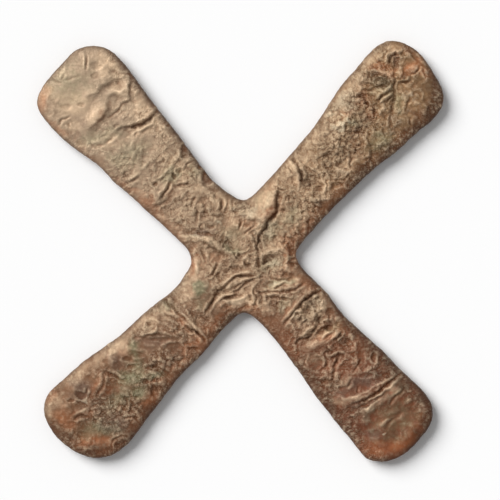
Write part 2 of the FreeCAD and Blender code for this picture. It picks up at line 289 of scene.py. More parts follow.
SOUTH_WEST_SWELLS = [
    (-20.5, -34.5, 4.5, 3, 0, -0.7), (-36, -31, 6, 3, -25, 0.5), (-30, -31, 6, 3, -45, -0.5),
    (-38, -41.5, 9, 3, -12, 0.6), (-33, -51, 7, 4, 0, -0.3), (-56, -49.5, 5.5, 3, -10, 0.8),
    (-64, -53.5, 3.5, 3, -45, 0.8), (-50, -57, 6, 3, -5, -0.7), (-58, -59.5, 4.5, 3.2, -45, -0.6),
    (-69.5, -63.5, 5.5, 3.2, 65, 0.8), (-63, -65.5, 4, 3, 0, -0.8), (-82, -67, 6, 3.5, 55, 0.5),
    (-86, -77, 5, 3.5, 80, 0.5), (-79, -74, 4.5, 3, 30, -0.5), (-66, -75.5, 8, 3.2, -8, -0.5),
    (-57, -70, 3.5, 3, 0, 0.7), (-45.5, -64, 8, 3, -10, 0.6), (-48, -72, 3, 3.5, 0, 0.7),
    (-54, -82, 5.5, 3, 0, 0.5), (-78, -88.5, 4.5, 5, 0, -0.8), (-65, -87, 5, 3.5, 0, -0.5),
    (-69, -96.5, 9, 3, 8, 0.7), (-38, -55.5, 5, 4, 0, 0.3),
]
SOUTH_EAST_SWELLS = [
    (32.5, -21.5, 6, 3, 48, 0.9), (36, -26, 7, 3, 48, -1.2), (21, -26, 4.5, 3, 0, -0.7),
    (26, -30, 7, 3, 55, 0.9), (42.5, -30.5, 7, 3, -62, 0.7), (36, -32.5, 3, 3.5, 0, 0.8),
    (37, -41, 7.5, 3, 45, -0.7), (43, -44, 9, 3, 30, 0.9), (39, -49.5, 5.5, 3.2, 0, 0.8),
    (48, -55.5, 3, 4.5, 0, -0.5), (60, -44, 5.5, 3, -50, 0.4), (65.5, -56, 3, 6, -10, 0.6),
    (52, -64.5, 7.5, 3, 35, 0.5), (63, -66, 7, 3, 15, -0.6), (58, -74, 9, 3, 10, 1.0),
    (73, -65.5, 6, 3, 42, 0.6), (71, -69.5, 6, 3, 42, -0.8), (55, -81, 6, 3, 5, -0.7),
    (68, -78, 10, 3, 38, 0.6), (78, -70, 4.5, 3.2, 35, 0.9), (84.5, -90, 9, 3, 50, 0.6),
    (77, -90, 7, 3.5, 75, -0.6), (84, -79, 4, 3, 0, -0.4), (59, -90, 5, 4.5, 0, -0.4),
    (70, -85, 6, 3, 50, 0.3),
]
SWELLS = NORTH_WEST_SWELLS + CENTRE_SWELLS + NORTH_EAST_SWELLS + SOUTH_WEST_SWELLS + SOUTH_EAST_SWELLS

# Narrow creases: (half width, depth, points)
CREASES = [
    (0.8, 1.3, [(-39.5, 71.5), (-42.5, 69), (-44, 67.5), (-46, 65.5), (-50, 63.3), (-55, 62),
                (-61.5, 60.8)]),
    (0.6, 0.7, [(-54.5, 75), (-58.5, 73.5), (-60, 71.5), (-62.5, 69), (-66.5, 66.5)]),
    (0.5, 0.7, [(-76.8, 97.5), (-77, 94), (-77, 90.3)]),
    (0.5, 0.5, [(-61, 88), (-58.5, 88.4), (-56, 88.8)]),
    (0.5, 0.4, [(-94.5, 86), (-92, 84.8), (-89.5, 83.5)]),
    (0.5, 0.4, [(-88.3, 88.5), (-89, 85.8)]),
    (0.6, 0.35, [(-87.5, 85.3), (-83, 86.4), (-79.5, 87.6)]),
    (0.6, 0.6, [(-84.5, 67.3), (-87.5, 66), (-89.7, 64.8), (-90.8, 62.5)]),
    (0.5, 0.5, [(-86.3, 63.6), (-85.3, 61.6)]),
    (0.7, 0.5, [(-69.5, 53), (-66.5, 54.8), (-64, 57), (-62, 59), (-59.5, 60.5)]),
    (0.8, 0.5, [(-58.5, 59.8), (-55.5, 60.4)]),
    (0.5, 0.6, [(-38.7, 62.7), (-39.2, 61.3), (-38, 60)]),
    (0.5, 0.6, [(-37.6, 62.2), (-34.5, 63.2)]),
    (0.5, 0.5, [(-38, 59.2), (-38.6, 57.5), (-37.7, 55.8), (-36, 55.3)]),
    (0.5, 0.5, [(-27.2, 41.6), (-26.6, 43.4), (-24.6, 44.7)]),
    (0.7, 1.3, [(-34.2, 34.3), (-36, 31.5), (-37.6, 29.4), (-38.7, 27.8), (-39.2, 25.8)]),
    (0.8, 0.6, [(-37, 24.9), (-40, 23), (-43.5, 21.7)]),
    (0.6, 0.5, [(-34, 34.3), (-32.6, 32.2), (-30.5, 32.4), (-28, 33.6), (-25, 34.1)]),
    (0.7, 1.4, [(-10.2, 26.7), (-9.6, 24.5), (-9.3, 22), (-10.4, 19.6)]),
    (0.9, 0.7, [(-14.5, 18.2), (-11.5, 17.3), (-8.2, 17.8)]),
    (0.8, 0.8, [(-21.2, 20.8), (-21.8, 18), (-22.3, 14.6)]),
    (0.6, 0.7, [(-22.2, 27), (-23.8, 24.4), (-25.2, 22)]),
    (0.5, 0.4, [(-21.8, 26.6), (-25, 25.3), (-29.5, 25.1)]),
    (0.5, 0.5, [(-38, 36.9), (-39.8, 34.2)]),
    (0.8, 0.5, [(-50.5, 37.3), (-53.5, 35.5), (-57, 34)]),
    (0.6, 1.0, [(19, 33), (19, 29), (18.2, 25.5), (18.5, 22), (17.9, 19.5), (15.6, 16.5), (13.6, 14),
                (12.5, 11.5), (10.8, 9.5), (9.6, 8), (9.2, 5), (8.4, 3), (8.5, 0), (8.8, -3), (9.2, -7),
                (9, -11.5)]),
    (1.1, 1.2, [(17, 19), (15.2, 16.8), (13.6, 14.4), (12.2, 11)]),
    (0.5, 0.9, [(0, 16), (-0.1, 13.5), (-0.6, 10.6)]),
    (0.5, 0.6, [(1.3, 8.2), (3.5, 10), (5.5, 11.5), (7.5, 13.2)]),
    (0.5, 0.7, [(6.4, 9), (6.9, 6), (7.5, 4), (8.3, 2)]),
    (0.5, 0.9, [(-3.9, 25.5), (-4.1, 22.5), (-3.4, 20)]),
    (0.6, 0.7, [(-19.8, 1), (-18.4, -2.5), (-16.8, -5.5)]),
    (0.6, 0.8, [(-3.9, -0.4), (-2.2, -2.8), (-0.3, -5.3)]),
    (0.5, 0.5, [(-3, -0.6), (0, -1.9), (3, -1.3), (6, -0.2), (8.3, 0.9)]),
    (0.5, 0.8, [(1.6, -5), (3.2, -7.4)]),
    (0.6, 0.9, [(-11.4, -5.5), (-12.8, -9), (-14, -11), (-16, -13.4)]),
    (0.7, 0.8, [(-7.8, -8.6), (-6.4, -10.4), (-4.6, -8.4)]),
    (0.6, 0.9, [(9.5, -12), (5, -12.6), (1, -12.1), (-1.6, -12.7), (-4, -14.2), (-6, -16.2), (-8, -18.3),
                (-11, -19.8), (-14.5, -19.6)]),
    (0.6, 1.0, [(11, -12.6), (7, -14), (4, -15.1), (1.5, -17.1), (-1, -19.6), (-5, -20.6), (-9.5, -20)]),
    (0.6, 0.7, [(-0.3, -20.8), (-4, -22), (-6.5, -23.2), (-10.5, -24.3)]),
    (0.7, 1.1, [(-18, -32), (-16.8, -30), (-15.4, -27.6), (-14, -25.4), (-12.4, -22.8), (-10.3, -20.6)]),
    (0.6, 0.9, [(6.4, -18), (6.8, -21), (8.1, -23.7), (6.8, -27.6)]),
    (0.6, 0.6, [(12.9, -20.6), (13.4, -24.6)]),
    (0.5, 0.7, [(7.5, -19.6), (10, -21), (13, -20.4), (16.5, -20.3), (20.5, -20.2)]),
    (0.6, 0.9, [(32, -15.4), (29.8, -17.4), (27, -19), (24, -19.7), (20, -20)]),
    (0.6, 0.8, [(8.9, -8.6), (10.6, -7), (13.4, -4.8)]),
    (0.6, 0.6, [(26.5, -13.2), (23, -14.2), (19, -14.2), (14.5, -13.2)]),
    (0.6, 0.7, [(23.5, -4.9), (28.5, -2.6)]),
    (0.5, 0.7, [(22.7, 9.4), (22.2, 6.6), (22.4, 4.6), (20.8, 3)]),
    (0.6, 0.5, [(17, 19.3), (20, 20.1), (25, 20.7)]),
    (0.7, 1.4, [(25.4, 46.8), (27.6, 43.6), (28.9, 41.4), (29.6, 39.4), (30.6, 37.4), (30.2, 35)]),
    (0.5, 0.6, [(15.5, 32.6), (19, 31.8), (22.6, 30)]),
    (0.5, 0.6, [(35, 35.2), (34.6, 33.6), (34.6, 31.6)]),
    (0.5, 0.6, [(42.6, 36.4), (43.1, 33), (42.6, 30), (43.2, 27.6)]),
    (0.5, 0.5, [(33.8, 29.3), (35.5, 27.9), (38.5, 27.1), (41.4, 28)]),
    (0.6, 0.6, [(41.8, 40), (41.6, 37.4), (42, 35)]),
    (0.8, 0.8, [(34.6, 16.4), (33.8, 14.2), (34.6, 11)]),
    (0.7, 0.9, [(77.4, 92), (76.6, 88), (77.1, 85), (76.4, 81), (76.6, 77.5), (76.2, 73), (75.3, 69),
                (75, 65), (75.8, 61.5)]),
    (0.5, 0.6, [(65.5, 89.4), (69, 88.5), (72, 87), (74.5, 85.4), (76.4, 83)]),
    (0.6, 0.6, [(60.4, 80.2), (63.5, 80.6), (67, 80), (70.5, 78.6)]),
    (0.5, 0.6, [(63.7, 91), (64.2, 88), (63.2, 85.6)]),
    (0.5, 0.5, [(69.3, 96.4), (70, 93.4), (70.6, 91)]),
    (0.5, 0.5, [(72.8, 99.4), (71.4, 96)]),
    (0.6, 0.8, [(78.6, 83), (81, 84), (83.5, 84.2), (85.2, 86.6)]),
    (0.5, 0.8, [(68.6, 75), (70.8, 78)]),
    (0.5, 0.8, [(72.2, 74.2), (75.8, 77.8)]),
    (0.5, 0.5, [(70.6, 61.6), (71.6, 58.8), (73, 56.6)]),
    (0.6, 0.6, [(84.8, 67), (84.6, 64.6), (85.4, 62)]),
    (0.7, 1.4, [(41.5, -18.5), (39, -20), (36, -21.6), (34, -22.9), (32, -24.2), (30.4, -26), (28.5, -28.5),
                (26.5, -30.5), (24.8, -32.5), (23.2, -34.6), (21.4, -37)]),
    (0.6, 0.7, [(44.9, -36.4), (44.2, -34), (45, -31.4)]),
    (0.7, 1.1, [(39.4, -36.4), (37.6, -38.4), (36, -40), (34.4, -42.4), (32.4, -44.6)]),
    (0.6, 0.7, [(27.6, -46.6), (29, -44.6), (31.8, -43)]),
    (0.6, 0.7, [(41, -44.4), (43.4, -43.2), (45.6, -41)]),
    (0.6, 0.8, [(50.8, -40), (49.6, -42), (48, -43.6), (46, -44.3)]),
    (0.6, 0.5, [(51.4, -43), (53.4, -43.2), (55.4, -44.8), (56.4, -47.6)]),
    (0.7, 0.6, [(41.4, -50.6), (45, -50.1), (48.6, -50)]),
    (0.7, 0.8, [(41.4, -50.4), (42.8, -53.6), (43, -56.6), (41.6, -59), (39.6, -61)]),
    (0.5, 0.4, [(32.8, -51.4), (32, -55), (33.2, -58)]),
    (0.6, 0.9, [(49.4, -51.6), (48, -55), (47, -57.6), (46.4, -60), (46, -64)]),
    (0.6, 0.6, [(60.2, -53.4), (59.2, -56.4), (57, -59), (55, -60.6)]),
    (0.6, 0.7, [(56.6, -63.4), (54.6, -66), (52.8, -68.4)]),
    (0.5, 0.5, [(58.6, -67.6), (58.3, -71)]),
    (0.7, 1.2, [(80.5, -61), (77.8, -63), (76, -64.5), (73.4, -66.2), (71.4, -68), (69, -70), (66.4, -71.8),
                (64, -73.3), (61, -74.6), (57, -76)]),
    (0.8, 0.35, [(65.6, -86.6), (70, -84.6), (74, -82.6), (79, -81.2), (82.4, -78.6)]),
    (0.8, 0.4, [(80.4, -80.4), (78, -83), (75, -84.5), (73.2, -86.4), (72.6, -89.6)]),
    (0.6, 0.8, [(-65.6, -60.2), (-62.4, -62.4), (-60, -64), (-57.8, -64.6)]),
    (0.7, 0.8, [(-68.6, -61), (-68, -65), (-69, -68), (-70.5, -70.6), (-72, -73.4)]),
    (0.5, 0.6, [(-77.4, -71.2), (-76.4, -68.6)]),
    (0.9, 0.9, [(-83, -83.8), (-79.6, -82.1), (-76.4, -82.5), (-74.4, -84)]),
    (0.6, 0.7, [(-54.8, -74.6), (-53.6, -77), (-51.6, -79), (-49, -80.8)]),
    (0.6, 0.7, [(-58.6, -83.8), (-55.5, -82.8), (-53, -83), (-51.6, -85)]),
    (0.6, 0.7, [(-64.6, -97.6), (-63.8, -94.8), (-61, -93), (-56.6, -92.3)]),
    (0.6, 0.5, [(-73.8, -92.8), (-74.2, -96.8)]),
    (0.7, 0.7, [(-38.2, -25.2), (-35.4, -26.8), (-33, -28.5), (-30.8, -30.6)]),
    (0.8, 1.2, [(-28.6, -37), (-26, -38.2), (-23.5, -39.5), (-21, -41.1), (-18.6, -43.6), (-17.6, -46)]),
    (0.7, 0.7, [(-38.4, -31.8), (-35, -32.5), (-32.6, -34), (-30, -35.4), (-27.2, -35)]),
    (0.6, 0.6, [(-55.4, -70), (-55, -73.4)]),
    (0.6, 0.5, [(-42, -57.6), (-44.4, -58.6)]),
    (0.5, 0.9, [(-34, -28), (-30, -32), (-25.6, -36), (-21, -41), (-17, -46)]),
    (0.5, 0.7, [(15, -19), (18.5, -18), (24, -15.5)]),
    (0.5, 0.7, [(17, 31), (19.5, 31.2), (22, 30.5)]),
    (0.5, 0.7, [(31, -42.5), (34, -41), (37, -38.6)]),
    (0.5, 0.6, [(52, -44), (54, -44.2), (56, -47)]),
    (0.6, 0.9, [(74, 91.5), (74.2, 94.5), (75.5, 97), (78, 98.6), (81, 98)]),
    (0.6, 0.9, [(69, 75.2), (71, 77), (73.4, 78.8), (75.8, 80.6)]),
    (0.6, 0.8, [(72.6, 73.6), (74.2, 75.6), (76, 77.6)]),
    (0.6, 0.7, [(65, 81.4), (69, 81.6), (73.6, 82.4)]),
    (0.6, 0.5, [(84.6, 79), (84, 76), (83, 72.6), (82, 69.4)]),
    (0.5, 0.8, [(88.6, 92.6), (88.8, 90.6), (87.2, 89), (84.6, 88.6)]),
    (0.5, 0.7, [(90.6, 91.6), (91.8, 88.4), (92.6, 86)]),
    (0.5, 0.6, [(46, 35.6), (49, 35.4), (52, 35.8), (53.8, 38), (53.4, 41)]),
    (0.5, 0.6, [(31, 43), (34, 41), (38, 39.4)]),
    (0.6, 0.8, [(56.6, 47.4), (54.6, 44), (55.4, 41)]),
    (0.5, 0.7, [(36.8, -28.6), (37.8, -31), (37, -33.6), (35, -35.6)]),
    (0.5, 0.6, [(45.4, -53.4), (49, -51.8), (52, -52.6)]),
    (0.6, 0.7, [(82, -69), (79.4, -71), (76.6, -73.6), (74, -77)]),
]

# Ridges: (half width, height, points)
RIDGES = [
    (0.7, 0.7, [(-42, 64.6), (-46, 62.5), (-50, 60.5), (-53, 58.8), (-56.5, 56)]),
    (1.2, 0.7, [(-67, 80.3), (-63, 80.2), (-60, 79.4), (-57, 82), (-56.8, 86)]),
    (0.6, 0.4, [(-78.6, 100), (-78.2, 96), (-78, 91)]),
    (0.8, 0.4, [(-90.4, 86), (-88.2, 89.6), (-87, 93)]),
    (1.0, 0.4, [(-61, 70.6), (-55, 72), (-49, 73.6)]),
    (0.7, 0.5, [(-31.8, 51.5), (-31.4, 48.4), (-29.8, 46), (-27, 45.6), (-24, 46.8)]),
    (0.8, 0.5, [(-33, 47), (-34.4, 44), (-36.6, 40), (-40, 36.7), (-44, 34.6)]),
    (0.8, 0.5, [(-49.6, 39.4), (-53, 37.2), (-57, 35.3)]),
    (1.3, 1.3, [(-31, 7.2), (-25, 7.1), (-20, 7), (-17, 6.4), (-14.5, 5), (-12, 3.6), (-9.5, 1.7), (-7, 0.3),
                (-5, -0.8), (-2.6, -2.6), (-0.6, -5)]),
    (0.8, 0.7, [(-12.6, -6.4), (-9, -4.9), (-6, -3.6), (-3, -3.8)]),
    (1.0, 0.9, [(-22.8, 1), (-22.4, -3), (-21.6, -8), (-20.6, -11.5)]),
    (0.9, 0.9, [(9.5, -10.9), (4, -10.6), (0, -11), (-4, -12.6), (-8, -15.6), (-12, -18)]),
    (0.8, 0.8, [(9.6, -12.7), (4, -13.7), (0, -14.8), (-3, -17.4), (-7.6, -19.4)]),
    (0.7, 0.7, [(-2.4, -21.4), (-7, -22.2), (-10, -23.4), (-12, -25.6), (-13.8, -29)]),
    (0.8, 0.7, [(10, -14.6), (7.2, -16.8), (5.4, -19.2)]),
    (0.9, 0.7, [(9.6, -3.2), (13, -1), (18, 0.8), (22.8, 3)]),
    (0.9, 0.6, [(10.6, -10.4), (12.6, -8.2), (15, -6.4), (20, -5.8)]),
    (0.6, 0.6, [(12.8, 9.6), (11.4, 5), (12, 0)]),
    (0.8, 0.8, [(20, 1.6), (23.6, -2), (22.4, -8), (25, -10.6)]),
    (0.7, 0.6, [(31, 29.7), (34, 27), (37, 25.8), (40, 25.4), (42.8, 26.2), (44.2, 28.4)]),
    (0.6, 0.5, [(41.6, 35.2), (42.3, 32), (41.4, 29)]),
    (0.6, 0.6, [(80, 97), (79.6, 93.6), (79, 90)]),
    (1.0, 0.8, [(73.6, -62.8), (71, -65), (68, -67), (64, -69.6), (61, -71), (56, -73), (50, -74.2)]),
    (1.1, 0.9, [(78.4, -64), (75.6, -66.6), (73, -69.4), (70.4, -70.8), (68.4, -73), (66, -75.6),
                (63.4, -78.4), (60, -80.5), (56, -81.6), (52, -82.7)]),
    (0.7, 0.7, [(36, -28.4), (37.6, -30), (37.6, -32), (36.2, -34.6)]),
    (0.7, 0.8, [(40.4, -42.8), (43, -41.1), (45.5, -39.6), (48, -37.8)]),
    (0.9, 0.6, [(30, -42.8), (33, -39.6), (36.6, -37.2)]),
    (0.6, 0.5, [(44, -52.8), (47, -50.7), (50, -50.2), (53, -51.7), (55.4, -53.4)]),
    (0.6, 0.5, [(49.6, -56.6), (52, -54.2), (56, -53.6), (59.4, -55)]),
    (0.7, 0.6, [(66, -56.4), (67.6, -54.8), (68.8, -52.8)]),
    (0.9, 0.3, [(73.2, -82.6), (71.4, -85.4), (69.6, -88)]),
    (0.8, 0.6, [(-84, -73.8), (-79, -74.6), (-76.4, -74), (-73.4, -75.2)]),
    (0.8, 0.5, [(-74, -79.4), (-70.5, -77.6), (-66.6, -78.6)]),
    (0.6, 0.6, [(-55.4, -75.4), (-56, -78), (-57.2, -80.8)]),
    (0.7, 0.5, [(-62, -61), (-60, -62.2), (-58, -63.6)]),
    (0.8, 0.9, [(-29.8, -29), (-28, -32), (-26.4, -34.4), (-25, -36.6), (-22, -38.6), (-19, -41),
                (-17.3, -43.8)]),
    (0.7, 0.6, [(-42.2, -35.4), (-41.8, -38), (-43, -40.2), (-46, -41.3), (-50.5, -41.3)]),
    (0.7, 0.4, [(-40, -46.8), (-36.4, -46), (-32.6, -45.4)]),
    (0.6, 0.3, [(41, -50), (42.5, -55), (41, -59)]),
    (0.7, 0.6, [(72.6, 92), (73.4, 97.6), (77, 99.8), (80.6, 97), (81.2, 92.6)]),
    (0.9, 0.8, [(67, 76), (70, 78.6), (73, 81), (75, 82.4)]),
    (0.7, 0.7, [(68.4, 73.4), (71.4, 75.8), (74.4, 78.4)]),
    (0.8, 0.7, [(64, 79), (67.6, 79.6), (71, 79.8)]),
    (0.7, 0.25, [(85, 75), (85.4, 78.6), (88, 80.6), (91, 79), (91, 75.4)]),
    (0.8, 0.7, [(80, 92), (80.2, 89.4), (79, 86.6)]),
    (0.9, 0.35, [(26.6, 47), (30, 45.8), (34, 43.8), (37, 41.4), (40, 38.8), (42.6, 38)]),
    (0.8, 0.6, [(28.4, 38), (29, 35), (30, 32.4), (32, 31)]),
    (1.1, 0.9, [(-9.6, -24.4), (-5, -24.6), (0, -23.6), (4, -22)]),
    (1.2, 1.0, [(37, -37.4), (34.6, -39), (32.6, -41), (31, -43)]),
    (0.9, 0.8, [(39, -30), (37, -31.6), (36.4, -33.6), (34, -35.4)]),
    (0.8, 0.6, [(52, -42.2), (55.4, -43), (57, -46.4), (57.6, -50.6)]),
]

# Folds that lap over lower metal, which lies on the right as the points go:
# (half width, drop, reach, points)
FOLDS = [
    (0.5, 1.0, 2.4, [(-54.6, 74), (-55.4, 77.5), (-56, 80.5), (-55.7, 83), (-55.2, 86), (-56.8, 89.5)]),
    (1.0, 0.8, 3, [(-77.5, 77), (-73, 78.6), (-71, 80), (-69, 82), (-66, 83.7), (-63.3, 85.1), (-59, 87)]),
    (0.8, 1.1, 2.4, [(-76.5, 60.4), (-73.6, 62.4), (-71, 64.6), (-69, 67), (-67, 69.6), (-66.5, 71.6),
                     (-67.6, 74.2)]),
    (0.7, 0.6, 2.4, [(-66.5, 66.4), (-62.5, 69), (-60, 71.6), (-56, 75.3)]),
    (0.7, 0.8, 3, [(-62, 60.2), (-55, 61.8), (-50, 63.2), (-46, 65.4), (-42, 69.4)]),
    (0.6, 0.7, 1.8, [(-17, 31), (-19.4, 34), (-19.2, 36.5), (-18, 39.6)]),
    (1.2, 1.0, 2.4, [(10, 8), (13, 12.6), (15, 16), (17, 20), (16.8, 25), (17.4, 31)]),
    (0.8, 0.7, 2.4, [(-1, 18), (3, 17.2), (6, 16.2), (9, 15.6), (12.4, 15)]),
    (0.8, 0.9, 2.4, [(-22, 5.6), (-17.6, 4.6), (-14, 2.6), (-10.6, 0), (-7, -1.8), (-3, -4)]),
    (0.8, 0.9, 2.4, [(30.2, 34.4), (30.6, 37.5), (29.5, 40), (28, 43), (25.6, 46.4)]),
    (0.7, 0.6, 1.8, [(-56, -43.2), (-51, -42.3), (-47, -42.1), (-44, -41.4), (-41, -40.6), (-38, -41.2),
                     (-33, -42.6), (-27, -43)]),
    (1.0, 0.6, 3, [(60, -83), (64, -80.4), (68, -77.6), (72, -75), (76, -72.6), (81, -69)]),
    (0.6, 0.8, 2.4, [(64.2, 44.5), (64.6, 48), (64.4, 52), (63.6, 55.5)]),
    (1.0, 0.4, 2.6, [(79, -75.6), (80.6, -78.4), (78.6, -82), (74.4, -85.4), (73, -89)]),
]

